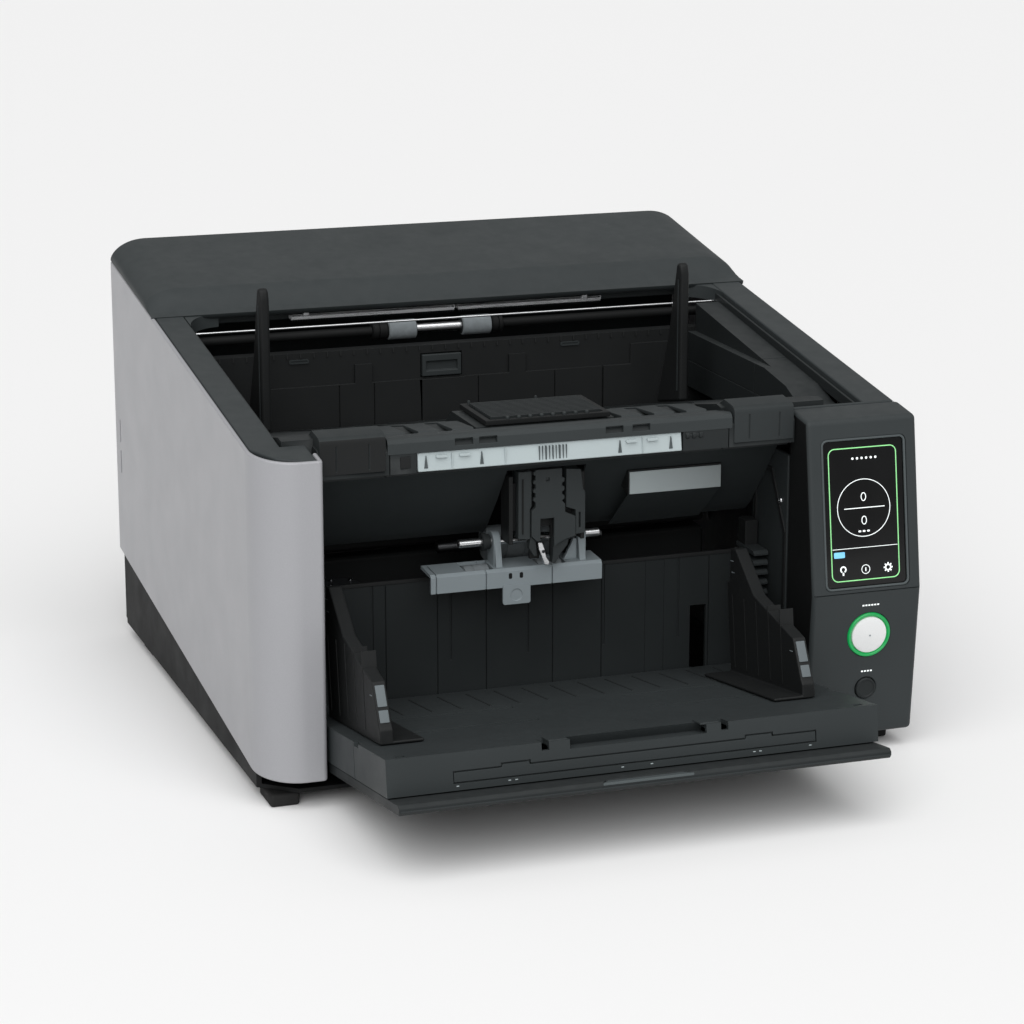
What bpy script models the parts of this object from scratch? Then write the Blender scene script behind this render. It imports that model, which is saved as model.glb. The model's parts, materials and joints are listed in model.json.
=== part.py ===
"""Sheet fed document scanner: hopper at the front, stacker well on top, U-turn paper path inside.

Metres, +Z up, -Y is the front and +X is the operator's right. The main body is modelled around Y = 0 and
then shifted so that the whole object's box is centred on the origin, with the feet at Z = 0.
"""

from math import atan2, cos, pi, sin, tau

import bmesh
import bpy
from mathutils import Matrix, Vector

# Overall sizes
BODY_WIDTH = 0.460
BODY_DEPTH = 0.434
RIM_FRONT_HEIGHT = 0.233
RIM_REAR_HEIGHT = 0.293
HOOD_REAR_HEIGHT = 0.310
GAP = 0.0003  # between touching pieces
SLACK = 0.0010  # between pieces that slide or turn past each other
WALL = 0.003

# Base and feet
FOOT_HEIGHT = 0.009
FOOT_WIDTH = 0.020
FOOT_LENGTH = 0.030
FOOT_INSET = 0.008
BASE_FRONT_WALL = 0.030
BASE_REAR_WALL = 0.085

# Side covers
COVER_CORNER = 0.030
COVER_FRONT_BOTTOM = 0.018
COVER_REAR_BOTTOM = 0.069
LEFT_COLUMN = 0.044
RIGHT_COLUMN = 0.081
COLUMN_DEPTH = 0.028
COVER_RETURN = 0.016

# Operator housing: the panel leans out to a seam, then back in to the base
SEAM_HEIGHT = 0.116
SEAM_FORWARD = 0.017
HOUSING_BOTTOM = 0.012
HOUSING_BOTTOM_FORWARD = 0.009
SCREEN_WIDTH = 0.060
SCREEN_HEIGHT = 0.100
SCREEN_THICKNESS = 0.004
SCREEN_RECESS = 0.0055
SCREEN_ABOVE_SEAM = 0.004
SCREEN_INSET = 0.010
BUTTON_INSET = 0.0374
START_HEIGHT = 0.085
START_RADIUS = 0.0132
RING_RADIUS = 0.0158
POWER_HEIGHT = 0.046
POWER_RADIUS = 0.0080
BUTTON_PROUD = 0.0015

# Rim, well and hood
RIM_THICKNESS = 0.012
RIM_RAIL_LEFT = 0.024
RIM_RAIL_RIGHT = 0.026
WELL_FRONT = 0.031
HOOD_LIP = 0.139
HOOD_FRONT = 0.113
HOOD_FRONT_RISE = 0.0125
HOOD_SHOULDER = 0.014
HOOD_HINGE_INSET = 0.004
HOOD_HINGE_RISE = 0.004
WELL_WALL_INSET = 0.157
WELL_FLOOR = 0.182
WELL_WALL_TOP = 0.245
WELL_SIDE_WIDTH = 0.027

# Eject section
EJECT_INSET = 0.137
EJECT_HEIGHT = 0.254
EJECT_RADIUS = 0.0072
EJECT_SHAFT_RADIUS = 0.0035
EJECT_ROLLERS = ((-0.054, -0.032), (0.003, 0.026))
ROD_RADIUS = 0.0015
ROD_RISE = 0.0045
BAR_THICKNESS = 0.0030
BAR_DEPTH = 0.007
BARS = ((-0.1253, -0.0004), (0.0027, 0.1154))
TAB_WIDTH = 0.032
TAB_HEIGHT = 0.018

# Stacker
STACKER_HINGE_INSET = 0.165
STACKER_HINGE_HEIGHT = 0.190
STACKER_CREST = 0.077
STACKER_CREST_HEIGHT = 0.233
STACKER_NOSE_FORWARD = 0.017
STACKER_NOSE_TOP = 0.236
STACKER_NOSE_BOTTOM = 0.212
STACKER_FLOOR = 0.0035
STACKER_BLOCK = 0.049
EXTENSION_WIDTH = 0.184
EXTENSION_CENTRE = -0.026
EXTENSION_DEPTH = 0.085
EXTENSION_PLATE = 0.003
EXTENSION_BAR = 0.0125
STOPPER_WIDTH = 0.088
STOPPER_DEPTH = 0.056
STOPPER_THICKNESS = 0.004
STOPPER_RIB = 0.0016
STOPPER_RIBS = 6
FIN_LEFT = -0.163
FIN_RIGHT = 0.146
FIN_THICKNESS = 0.007
FIN_HEIGHT = 0.102
FIN_BASE = 0.046
FIN_TOP = 0.008

# Bay between the columns
BACK_WALL_INSET = 0.087
BACK_WALL_HEIGHT = 0.124
BACK_WALL_RIBS = 5
BAY_PANEL_TOP = 0.204
THROAT_FRONT_HEIGHT = 0.208

# Pick section
PICK_CENTRE = -0.018
PICK_SHAFT_INSET = 0.069
PICK_SHAFT_HEIGHT = 0.151
PICK_SHAFT_RADIUS = 0.003
PICK_SHAFT_LENGTH = 0.101
PICK_SHAFT_OFFSET = -0.0055
PICK_PLATE_WIDTH = 0.122
PICK_PLATE_OFFSET = -0.019
PICK_PLATE_FRONT = 0.054
PICK_PLATE_DEPTH = 0.023
PICK_PLATE_TOP = 0.135
PICK_PLATE_BOTTOM = 0.122
PICK_TAB_WIDTH = 0.020
PICK_TAB_OFFSET = -0.0295
PICK_TAB_DROP = 0.012
PICK_ROLLER_RADIUS = 0.0085
PICK_ROLLER_WIDTH = 0.018
PICK_ROLLER_SPREAD = 0.026
BRACKET_WIDTH = 0.054
BRACKET_WEB = 0.022
BRACKET_BOTTOM = 0.141

# Inside rollers
FEED_INSET = 0.105
FEED_RADIUS = 0.012
SEPARATOR_RADIUS = 0.010
PAPER_HEIGHT = 0.1275
TURN_INSET = 0.354
TURN_HEIGHT = 0.122
TURN_RADIUS = 0.028
SHAFT_RADIUS = 0.004
PULLEY_WIDTH = 0.008
TURN_PULLEY_RADIUS = 0.016
MOTOR_PULLEY_RADIUS = 0.008
MOTOR_RADIUS = 0.021
MOTOR_LENGTH = 0.045
MOTOR_INSET = 0.240
MOTOR_HEIGHT = 0.050
BELT_THICKNESS = 0.0015
SENSOR_DEPTH = 0.046
SENSOR_HEIGHT = 0.036
SENSOR_INSET = 0.150
FRAME_INSET = 0.031
FRAME_THICKNESS = 0.0015
FRAME_TOP = 0.176

# Hopper, in its own tilted frame: u runs forwards along the floor, w is square to the floor
HOPPER_TILT = atan2(0.152, 1.0)
HOPPER_REAR_INSET = 0.083
HOPPER_REAR_HEIGHT = 0.042
HOPPER_LENGTH = 0.208
HOPPER_SKIRT = 0.024
HOPPER_SIDE_GAP = 0.002
HOPPER_LIFT = 0.050
HOPPER_DIP = (0.120, 0.092)  # the lower stretch of the front plate: its start from the left and its width
HOPPER_DIP_DEPTH = 0.006
TRAY_EXTENSION_REAR = 0.070
TRAY_EXTENSION_FRONT = 0.229
TRAY_EXTENSION_THICKNESS = 0.0065
GUIDE_LEFT = -0.165
GUIDE_RIGHT = 0.1145
GUIDE_THICKNESS = 0.009
GUIDE_REAR = 0.044
GUIDE_LENGTH = 0.120
GUIDE_TOP = 0.0650
GUIDE_EXTENSION = 0.024
GUIDE_FOOT = 0.020
GUIDE_FOOT_THICKNESS = 0.002

# Hopper lift
SCREW_RADIUS = 0.004
SCREW_FROM_LEFT = 0.040
CARRIAGE_WIDTH = 0.008
CARRIAGE_HEIGHT = 0.010
CARRIAGE_RISE = 0.024
LIFT_MOTOR_RADIUS = 0.014
LIFT_MOTOR_HEIGHT = 0.030
SLOT_CLEARANCE = 0.002

# Rear
PORT_PANEL_WIDTH = 0.130
PORT_PANEL_HEIGHT = 0.040
PORT_PANEL_BOTTOM = 0.090
PORT_PANEL_DEPTH = 0.012
PORT_PANEL_CENTRE = -0.110
VENT_SLOTS = 9
VENT_PITCH = 0.010
VENT_SLOT = (0.070, 0.004)
VENT_CENTRE = (0.100, 0.120)
FAN_SIZE = 0.060
FAN_DEPTH = 0.015
FAN_RADIUS = 0.026
BOARD_THICKNESS = 0.0016

# Derived places
LEFT = -BODY_WIDTH / 2
RIGHT = BODY_WIDTH / 2
FRONT = -BODY_DEPTH / 2
REAR = BODY_DEPTH / 2
BAY_LEFT = LEFT + LEFT_COLUMN
BAY_RIGHT = RIGHT - RIGHT_COLUMN
BAY_CENTRE = (BAY_LEFT + BAY_RIGHT) / 2
SLOPE = (RIM_REAR_HEIGHT - RIM_FRONT_HEIGHT) / BODY_DEPTH
BACK_WALL = FRONT + BACK_WALL_INSET
WELL_LEFT = LEFT + RIM_RAIL_LEFT
WELL_RIGHT = RIGHT - RIM_RAIL_RIGHT
HOOD_LIP_Y = REAR - HOOD_LIP
HOOD_FRONT_Y = REAR - HOOD_FRONT
WELL_WALL = REAR - WELL_WALL_INSET
EJECT_Y = REAR - EJECT_INSET
STACKER_HINGE = (0.0, REAR - STACKER_HINGE_INSET, STACKER_HINGE_HEIGHT)
HOPPER_REAR = FRONT + HOPPER_REAR_INSET
PICK_SHAFT = (0.0, FRONT + PICK_SHAFT_INSET, PICK_SHAFT_HEIGHT)
FRAME_LEFT = LEFT + FRAME_INSET
FRAME_RIGHT = RIGHT - FRAME_INSET - 0.008
BASE_FLOOR = FOOT_HEIGHT + WALL

def hopper(u, w):
    """(y, z) of a point in the hopper's tilted frame."""
    return (HOPPER_REAR - u * cos(HOPPER_TILT) + w * sin(HOPPER_TILT),
            HOPPER_REAR_HEIGHT + u * sin(HOPPER_TILT) + w * cos(HOPPER_TILT))


EXTENSION_EDGE = 0.002  # the small slope on the hopper extension's front edges
EXTENSION_TOP = -HOPPER_SKIRT - SLACK
EXTENSION_LOW = EXTENSION_TOP - TRAY_EXTENSION_THICKNESS
FRONTMOST = hopper(TRAY_EXTENSION_FRONT, EXTENSION_LOW + EXTENSION_EDGE)[0]
SHIFT_Y = -(REAR + FRONTMOST) / 2

AXES = {"X": (Vector((0, 1, 0)), Vector((0, 0, 1))), "Y": (Vector((1, 0, 0)), Vector((0, 0, 1))),
        "Z": (Vector((1, 0, 0)), Vector((0, 1, 0)))}

MATERIALS = {
    "silver": ((0.42, 0.42, 0.44, 1.0), 0.38, 0.0),
    "charcoal": ((0.050, 0.058, 0.060, 1.0), 0.45, 0.0),
    "black": ((0.012, 0.013, 0.014, 1.0), 0.55, 0.0),
    "slate": ((0.22, 0.25, 0.27, 1.0), 0.45, 0.0),
    "pale_grey": ((0.45, 0.47, 0.49, 1.0), 0.45, 0.0),
    "rubber": ((0.02, 0.02, 0.02, 1.0), 0.85, 0.0),
    "roller_grey": ((0.20, 0.22, 0.23, 1.0), 0.80, 0.0),
    "steel": ((0.60, 0.60, 0.60, 1.0), 0.30, 1.0),
    "glass": ((0.005, 0.005, 0.006, 1.0), 0.06, 0.0),
    "button_silver": ((0.80, 0.80, 0.80, 1.0), 0.30, 0.0),
    "ring_green": ((0.02, 0.25, 0.08, 1.0), 0.30, 0.0),
    "board_green": ((0.02, 0.12, 0.05, 1.0), 0.50, 0.0),
}


def clear_scene():
    for obj in list(bpy.data.objects):
        bpy.data.objects.remove(obj)


def new_collection(name):
    collection = bpy.data.collections.new(name)
    bpy.context.scene.collection.children.link(collection)
    return collection


def make_material(name):
    color, roughness, metallic = MATERIALS[name]
    material = bpy.data.materials.new(name)
    material.use_nodes = True
    shader = material.node_tree.nodes["Principled BSDF"]
    shader.inputs["Base Color"].default_value = color
    shader.inputs["Roughness"].default_value = roughness
    shader.inputs["Metallic"].default_value = metallic
    return material


clear_scene()
SCANNER = new_collection("document_scanner")
CUTTERS = new_collection("cutters")
FINISH = {name: make_material(name) for name in MATERIALS}
ORIGIN = bpy.data.objects.new("scanner_origin", None)
ORIGIN.location = (0, SHIFT_Y, 0)
SCANNER.objects.link(ORIGIN)


def link(mesh, name, finish):
    """A new object under the origin; one with no finish is a cutter."""
    obj = bpy.data.objects.new(name, mesh)
    obj.parent = ORIGIN
    if finish is None:
        obj.hide_render = True
        obj.display_type = "WIRE"
        CUTTERS.objects.link(obj)
    else:
        obj.data.materials.append(FINISH[finish])
        SCANNER.objects.link(obj)
    return obj


def box(name, low, high, finish=None):
    """A box between two corners, made from Blender's cube."""
    low, high = Vector(low), Vector(high)
    bm = bmesh.new()
    bmesh.ops.create_cube(bm, size=1.0)
    bmesh.ops.scale(bm, vec=high - low, verts=bm.verts)
    bmesh.ops.translate(bm, vec=(high + low) / 2, verts=bm.verts)
    mesh = bpy.data.meshes.new(name)
    bm.to_mesh(mesh)
    bm.free()
    return link(mesh, name, finish)


def boxes(name, corners):
    """One cutter made of several boxes that don't touch."""
    bm = bmesh.new()
    for low, high in corners:
        low, high = Vector(low), Vector(high)
        cube = bmesh.ops.create_cube(bm, size=1.0)["verts"]
        bmesh.ops.scale(bm, vec=high - low, verts=cube)
        bmesh.ops.translate(bm, vec=(high + low) / 2, verts=cube)
    mesh = bpy.data.meshes.new(name)
    bm.to_mesh(mesh)
    bm.free()
    return link(mesh, name, None)


def prism(name, outline, axis, low, high, finish=None, hole=None):
    """A flat outline, square to an axis, as a filled 2D curve with thickness, made a closed mesh.

    The outline is (y, z) for axis X, (x, z) for Y and (x, y) for Z. The hole is a second outline inside it.
    """
    curve = bpy.data.curves.new(name, "CURVE")
    curve.dimensions = "2D"
    curve.fill_mode = "BOTH"
    curve.extrude = (high - low) / 2
    for points in filter(None, (outline, hole)):
        spline = curve.splines.new("POLY")
        spline.points.add(len(points) - 1)
        spline.use_cyclic_u = True
        for point, (a, b) in zip(spline.points, points):
            point.co = (a, b, 0, 1)
    helper = bpy.data.objects.new(name + "_outline", curve)
    CUTTERS.objects.link(helper)
    graph = bpy.context.evaluated_depsgraph_get()
    mesh = bpy.data.meshes.new_from_object(helper.evaluated_get(graph))
    bpy.data.objects.remove(helper)
    across, up = AXES[axis]
    out = across.cross(up)
    middle = {"X": Vector((1, 0, 0)), "Y": Vector((0, 1, 0)),
              "Z": Vector((0, 0, 1))}[axis] * (low + high) / 2
    place = Matrix((across, up, out)).transposed().to_4x4()
    mesh.transform(Matrix.Translation(middle) @ place)
    bm = bmesh.new()
    bm.from_mesh(mesh)
    bmesh.ops.remove_doubles(bm, verts=bm.verts, dist=0.00001)
    bmesh.ops.dissolve_limit(bm, angle_limit=0.001, verts=bm.verts, edges=bm.edges)
    bmesh.ops.recalc_face_normals(bm, faces=bm.faces)
    bm.to_mesh(mesh)
    bm.free()
    mesh.name = name
    return link(mesh, name, finish)


def cylinder(name, start, end, radius, finish=None, sides=24, far_radius=None):
    """A round bar from start to end, made from Blender's cone with both caps."""
    start, end = Vector(start), Vector(end)
    bm = bmesh.new()
    bmesh.ops.create_cone(bm, cap_ends=True, segments=sides, radius1=radius,
                          radius2=radius if far_radius is None else far_radius, depth=(end - start).length)
    turn = Vector((0, 0, 1)).rotation_difference(end - start).to_matrix().to_4x4()
    bmesh.ops.transform(bm, matrix=Matrix.Translation((start + end) / 2) @ turn, verts=bm.verts)
    mesh = bpy.data.meshes.new(name)
    bm.to_mesh(mesh)
    bm.free()
    mesh.shade_smooth()
    mesh.set_sharp_from_angle(angle=0.6)
    return link(mesh, name, finish)


def boolean(obj, other, operation):
    """Adds a Boolean modifier; the other object stays in the cutters' collection."""
    if other.name in SCANNER.objects:
        SCANNER.objects.unlink(other)
        CUTTERS.objects.link(other)
        other.hide_render = True
        other.display_type = "WIRE"
    modifier = obj.modifiers.new(other.name, "BOOLEAN")
    modifier.operation = operation
    modifier.object = other
    modifier.solver = "EXACT"
    return obj


def cut(obj, *cutters):
    for cutter in cutters:
        boolean(obj, cutter, "DIFFERENCE")
    return obj


def join(obj, *others):
    for other in others:
        boolean(obj, other, "UNION")
    return obj


def round_edges(obj, width, segments=2, angle=0.6):
    modifier = obj.modifiers.new("rounded_edges", "BEVEL")
    modifier.width = width
    modifier.segments = segments
    modifier.limit_method = "ANGLE"
    modifier.angle_limit = angle
    return obj


def pivot(obj, point):
    """Moves the object's origin to its joint's axis, and leaves its shape where it is."""
    obj.data.transform(Matrix.Translation(-Vector(point)))
    obj.location = point
    return obj


def arc(centre, radius, start, end, steps):
    """Points along an arc, in degrees, with both ends."""
    return [(centre[0] + radius * cos((start + (end - start) * i / steps) * pi / 180),
             centre[1] + radius * sin((start + (end - start) * i / steps) * pi / 180)) for i in range(steps + 1)]


def rim_height(y, below=0.0):
    return RIM_FRONT_HEIGHT + SLOPE * (y - FRONT) - below


def hopper_outline(*points):
    return [hopper(u, w) for u, w in points]


def build_base():
    floor_front = FRONT + 0.010
    low = (LEFT + WALL + GAP, floor_front, FOOT_HEIGHT)
    outline = [(floor_front, FOOT_HEIGHT), (REAR - WALL - 2 * GAP, FOOT_HEIGHT),
               (REAR - WALL - 2 * GAP, BASE_REAR_WALL), (floor_front, BASE_FRONT_WALL)]
    base = prism("base_pan", outline, "X", low[0], -low[0], "black")
    hollow = box("base_hollow", (low[0] + WALL, floor_front - WALL, BASE_FLOOR),
                 (-low[0] - WALL, REAR - 2 * WALL - 2 * GAP, BASE_REAR_WALL + WALL))
    corner = prism("base_corner", [(LEFT, FRONT), (LEFT + COVER_CORNER - WALL, FRONT),
                                   (LEFT + COVER_CORNER - WALL, floor_front),
                                   (low[0], FRONT + COVER_CORNER + GAP),
                                   (LEFT, FRONT + COVER_CORNER + GAP)], "Z", FOOT_HEIGHT - WALL,
                                   BASE_REAR_WALL)
    housing_seat = box("housing_seat", (BAY_RIGHT - GAP, floor_front - WALL, HOUSING_BOTTOM - GAP),
                       (RIGHT, FRONT + COLUMN_DEPTH + GAP, BASE_REAR_WALL))
    cut(base, hollow, corner, housing_seat)
    for side, x in (("left", LEFT + FOOT_INSET), ("right", RIGHT - FOOT_INSET - FOOT_WIDTH)):
        for end, y in (("front", floor_front + 0.002), ("rear", REAR - FOOT_LENGTH - 0.040)):
            foot = box(f"foot_{end}_{side}", (x, y, 0), (x + FOOT_WIDTH, y + FOOT_LENGTH,
                                                         FOOT_HEIGHT - GAP), "rubber")
            round_edges(foot, 0.002, 1)


def cover_outline(x, sign, front, inner_x=None):
    """The plan of a side cover: a wall, and for the left one a round corner, a front and a return."""
    inner = x + sign * WALL
    if inner_x is None:
        return [(x, front), (inner, front), (inner, REAR), (x, REAR)]
    centre = (x + COVER_CORNER, front + COVER_CORNER)
    return ([(x, REAR)] + arc(centre, COVER_CORNER, 180, 270, 8)
            + [(inner_x, front), (inner_x, front + COVER_RETURN), (inner_x - WALL, front + COVER_RETURN),
               (inner_x - WALL, front + WALL)]
            + arc(centre, COVER_CORNER - WALL, 270, 180, 8) + [(inner, REAR)])


def build_side_covers():
    outline = [(FRONT - WALL, COVER_FRONT_BOTTOM), (REAR + WALL, COVER_REAR_BOTTOM),
               (REAR + WALL, rim_height(REAR + WALL)), (FRONT - WALL, rim_height(FRONT - WALL))]
    left = prism("left_cover", cover_outline(LEFT, 1, FRONT, BAY_LEFT), "Z", 0, HOOD_REAR_HEIGHT, "silver")
    boolean(left, prism("left_cover_profile", outline, "X", LEFT - WALL, BAY_LEFT + WALL), "INTERSECT")
    right_front = FRONT + COLUMN_DEPTH + GAP
    right = prism("right_cover", cover_outline(RIGHT, -1, right_front), "Z", 0, HOOD_REAR_HEIGHT, "silver")
    boolean(right, prism("right_cover_profile", outline, "X", RIGHT - 2 * WALL, RIGHT + WALL), "INTERSECT")


def panel_point(up, out):
    """(y, z) on the upper face of the operator housing: up from the seam, and out square to it."""
    rise = Vector((SEAM_FORWARD, rim_height(FRONT) - SEAM_HEIGHT)).normalized()
    return (FRONT - SEAM_FORWARD + rise.x * up - rise.y * out, SEAM_HEIGHT + rise.y * up + rise.x * out)


def lower_panel_axis():
    """The inward direction square to the lower face of the operator housing."""
    rise = Vector((0, HOUSING_BOTTOM_FORWARD - SEAM_FORWARD, SEAM_HEIGHT - HOUSING_BOTTOM)).normalized()
    return Vector((0, rise.z, -rise.y))


def lower_panel_point(x, height, depth):
    share = (height - HOUSING_BOTTOM) / (SEAM_HEIGHT - HOUSING_BOTTOM)
    y = FRONT - HOUSING_BOTTOM_FORWARD - share * (SEAM_FORWARD - HOUSING_BOTTOM_FORWARD)
    return Vector((x, y, height)) + lower_panel_axis() * depth


def build_operator_housing():
    back = FRONT + COLUMN_DEPTH
    face = [(FRONT, rim_height(FRONT)), (FRONT - SEAM_FORWARD, SEAM_HEIGHT),
            (FRONT - HOUSING_BOTTOM_FORWARD, HOUSING_BOTTOM)]
    outline = face + [(back, HOUSING_BOTTOM), (back, rim_height(back))]
    left, right = BAY_RIGHT, RIGHT
    housing = prism("operator_housing", outline, "X", left, right, "charcoal")
    round_edges(housing, 0.004, 2, 1.2)
    inside = [(y + WALL, z - WALL * (i == 0)) for i, (y, z) in enumerate(face)]
    inside[2] = (inside[2][0], HOUSING_BOTTOM + WALL)
    inside += [(back + WALL, HOUSING_BOTTOM + WALL), (back + WALL, rim_height(FRONT) - WALL)]
    cut(housing, prism("housing_hollow", inside, "X", left + WALL, right - WALL))

    screen_right = right - SCREEN_INSET
    screen_left = screen_right - SCREEN_WIDTH
    low, high = SCREEN_ABOVE_SEAM, SCREEN_ABOVE_SEAM + SCREEN_HEIGHT

    def slab(bottom, top, inner, outer):
        return [panel_point(bottom, outer), panel_point(bottom, inner), panel_point(top, inner),
                panel_point(top, outer)]

    cut(housing, prism("screen_opening", slab(low, high, -2 * SCREEN_RECESS, WALL), "X", screen_left,
                       screen_right))
    face_depth = SCREEN_RECESS - SCREEN_THICKNESS
    prism("touch_screen", slab(low + GAP, high - GAP, -SCREEN_RECESS, -face_depth), "X",
          screen_left + GAP, screen_right - GAP, "glass")

    x = right - BUTTON_INSET
    inward = lower_panel_axis()
    for name, height, radius in (("start", START_HEIGHT, RING_RADIUS), ("power", POWER_HEIGHT,
                                                                        POWER_RADIUS)):
        centre = lower_panel_point(x, height, 0)
        cut(housing, cylinder(name + "_opening", centre - inward * WALL, centre + inward * 3 * WALL,
                              radius + GAP,
                              sides=32))
    centre = lower_panel_point(x, START_HEIGHT, 0)
    ring = cylinder("start_button_ring", centre - inward * BUTTON_PROUD * 0.5, centre + inward * 0.004,
                    RING_RADIUS,
                    "ring_green", 32)
    cut(ring, cylinder("ring_hole", centre - inward * WALL, centre + inward * 2 * WALL, START_RADIUS + GAP,
                       sides=32))
    for name, height, radius, finish in (("start_button", START_HEIGHT, START_RADIUS, "button_silver"),
                                         ("power_button", POWER_HEIGHT, POWER_RADIUS - GAP, "black")):
        centre = lower_panel_point(x, height, 0)
        button = cylinder(name, centre - inward * BUTTON_PROUD, centre + inward * 0.005, radius, finish, 32)
        round_edges(button, 0.0006, 1)
        pivot(button, centre)


def build_rim():
    """A U-shaped frame round the well, closed at the back, with its top in the sloping rim plane."""
    side = WALL + GAP
    back = FRONT + COLUMN_DEPTH + GAP
    outline = [(LEFT + side, REAR - side), (LEFT + side, FRONT + COVER_CORNER), (LEFT + side + 0.012,
                                                                                 FRONT + side + 0.008),
               (LEFT + COVER_CORNER, FRONT + side), (BAY_LEFT - side, FRONT + side),
               (BAY_LEFT - side, FRONT + WELL_FRONT), (WELL_LEFT, FRONT + WELL_FRONT), (WELL_LEFT,
                                                                                        HOOD_LIP_Y + 0.015),
               (WELL_RIGHT, HOOD_LIP_Y + 0.015), (WELL_RIGHT, FRONT + WELL_FRONT), (BAY_RIGHT + GAP,
                                                                                    FRONT + WELL_FRONT),
               (BAY_RIGHT + GAP, back), (RIGHT - side, back), (RIGHT - side, REAR - side)]
    rim = prism("top_rim", outline, "Z", 0.15, HOOD_REAR_HEIGHT, "charcoal")
    band = [(FRONT - WALL, rim_height(FRONT - WALL, RIM_THICKNESS)), (REAR, rim_height(REAR,
                                                                                       RIM_THICKNESS)),
            (REAR, rim_height(REAR)), (FRONT - WALL, rim_height(FRONT - WALL))]
    boolean(rim, prism("rim_band", band, "X", LEFT, RIGHT), "INTERSECT")


def build_hood():
    """The rear top cover: a shell with rounded shoulders that turns up on its rear edge."""
    hinge_y = REAR - HOOD_HINGE_INSET
    hinge_z = RIM_REAR_HEIGHT + HOOD_HINGE_RISE
    heel = REAR - 3 * HOOD_HINGE_INSET
    lift = 0.0006
    front_top = rim_height(HOOD_FRONT_Y) + HOOD_FRONT_RISE
    outline = [(HOOD_LIP_Y, rim_height(HOOD_LIP_Y) + lift), (heel, rim_height(heel) + lift),
               (REAR, hinge_z + HOOD_HINGE_RISE), (REAR, HOOD_REAR_HEIGHT), (HOOD_FRONT_Y, front_top),
               (HOOD_FRONT_Y - 0.008, front_top - 0.006)]
    hood = prism("hood", outline, "X", LEFT + GAP, RIGHT - GAP, "charcoal")
    shoulders = hood.modifiers.new("shoulders", "BEVEL")
    shoulders.width = HOOD_SHOULDER
    shoulders.segments = 4
    shoulders.limit_method = "WEIGHT"
    weights = hood.data.attributes.new("bevel_weight_edge", "FLOAT", "EDGE")
    for edge in hood.data.edges:
        ends = [hood.data.vertices[i].co for i in edge.vertices]
        flat = abs(ends[0].x - ends[1].x) < GAP
        high = min(end.z - rim_height(end.y) for end in ends) > HOOD_FRONT_RISE * 0.8
        weights.data[edge.index].value = float(flat and high)
    inner = [(HOOD_LIP_Y + 2 * WALL, rim_height(HOOD_LIP_Y) - WALL), (heel, rim_height(heel) - WALL),
             (REAR - WALL, hinge_z + HOOD_HINGE_RISE), (REAR - WALL, HOOD_REAR_HEIGHT - WALL),
             (HOOD_FRONT_Y, front_top - WALL), (HOOD_LIP_Y + 2 * WALL, rim_height(HOOD_LIP_Y) + WALL)]
    cut(hood, prism("hood_hollow", inner, "X", LEFT + HOOD_SHOULDER, RIGHT - HOOD_SHOULDER))
    pivot(hood, (0, hinge_y, hinge_z))
    bar_y = EJECT_Y + 0.004
    bar_z = rim_height(HOOD_LIP_Y) - RIM_THICKNESS + BAR_THICKNESS
    (left, gap_left), (gap_right, right) = BARS
    bars = box("static_bars", (left, bar_y, bar_z), (right, bar_y + BAR_DEPTH, bar_z + BAR_THICKNESS),
               "steel")
    stems = [box(f"static_bar_stem_{i}", (x, bar_y + 0.002, bar_z), (x + 0.004, bar_y + BAR_DEPTH,
                                                                     bar_z + 0.011))
             for i, x in enumerate((left + 0.010, right - 0.014))]
    join(bars, *stems)
    cut(bars, box("static_bar_gap", (gap_left, bar_y - WALL, bar_z - WALL),
                  (gap_right, bar_y + BAR_DEPTH / 2, bar_z + 2 * WALL)))
    pivot(bars, (0, hinge_y, hinge_z))


def build_well():
    wall = box("well_rear_wall", (WELL_LEFT + GAP, WELL_WALL, WELL_FLOOR),
               (WELL_RIGHT - GAP, WELL_WALL + WALL, WELL_WALL_TOP), "black")
    shelf = box("well_shelf", (WELL_LEFT + GAP, WELL_WALL, WELL_WALL_TOP - WALL),
                (WELL_RIGHT - GAP, EJECT_Y - EJECT_RADIUS - SLACK, WELL_WALL_TOP))
    join(wall, shelf)
    tab_low = WELL_WALL_TOP - 2 * WALL - TAB_HEIGHT
    cut(wall, box("tab_opening", (BAY_CENTRE - TAB_WIDTH / 2, WELL_WALL - WALL, tab_low),
                  (BAY_CENTRE + TAB_WIDTH / 2, WELL_WALL + 2 * WALL, tab_low + TAB_HEIGHT)))
    tab = box("release_tab", (BAY_CENTRE - TAB_WIDTH / 2 + SLACK, WELL_WALL - 0.002, tab_low + SLACK),
              (BAY_CENTRE + TAB_WIDTH / 2 - SLACK, WELL_WALL + 0.002, tab_low + TAB_HEIGHT - SLACK),
              "charcoal")
    round_edges(tab, 0.0006, 1)
    pivot(tab, (0, WELL_WALL, tab_low + TAB_HEIGHT - SLACK - 0.002))

    low = WELL_FLOOR + 0.018
    front, back = FRONT + WELL_FRONT + GAP, WELL_WALL - GAP
    step = FRONT + WELL_FRONT + 0.066
    outline = [(front, rim_height(front) - RIM_THICKNESS - GAP), (front, low), (back + WALL, low),
               (back + WALL, rim_height(back) - RIM_THICKNESS - GAP)]
    join(wall, prism("well_left_flange", outline, "X", WELL_LEFT - 0.008, WELL_LEFT + 2 * GAP))
    outline = [(front, rim_height(front) - RIM_THICKNESS - 0.004), (front, low), (back, low),
               (back, rim_height(back) - 0.008), (step, rim_height(step) - 0.010),
               (step - 0.020, rim_height(step) - RIM_THICKNESS - 0.006)]
    prism("well_side_right", outline, "X", WELL_RIGHT - WELL_SIDE_WIDTH, WELL_RIGHT - GAP, "charcoal")


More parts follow.
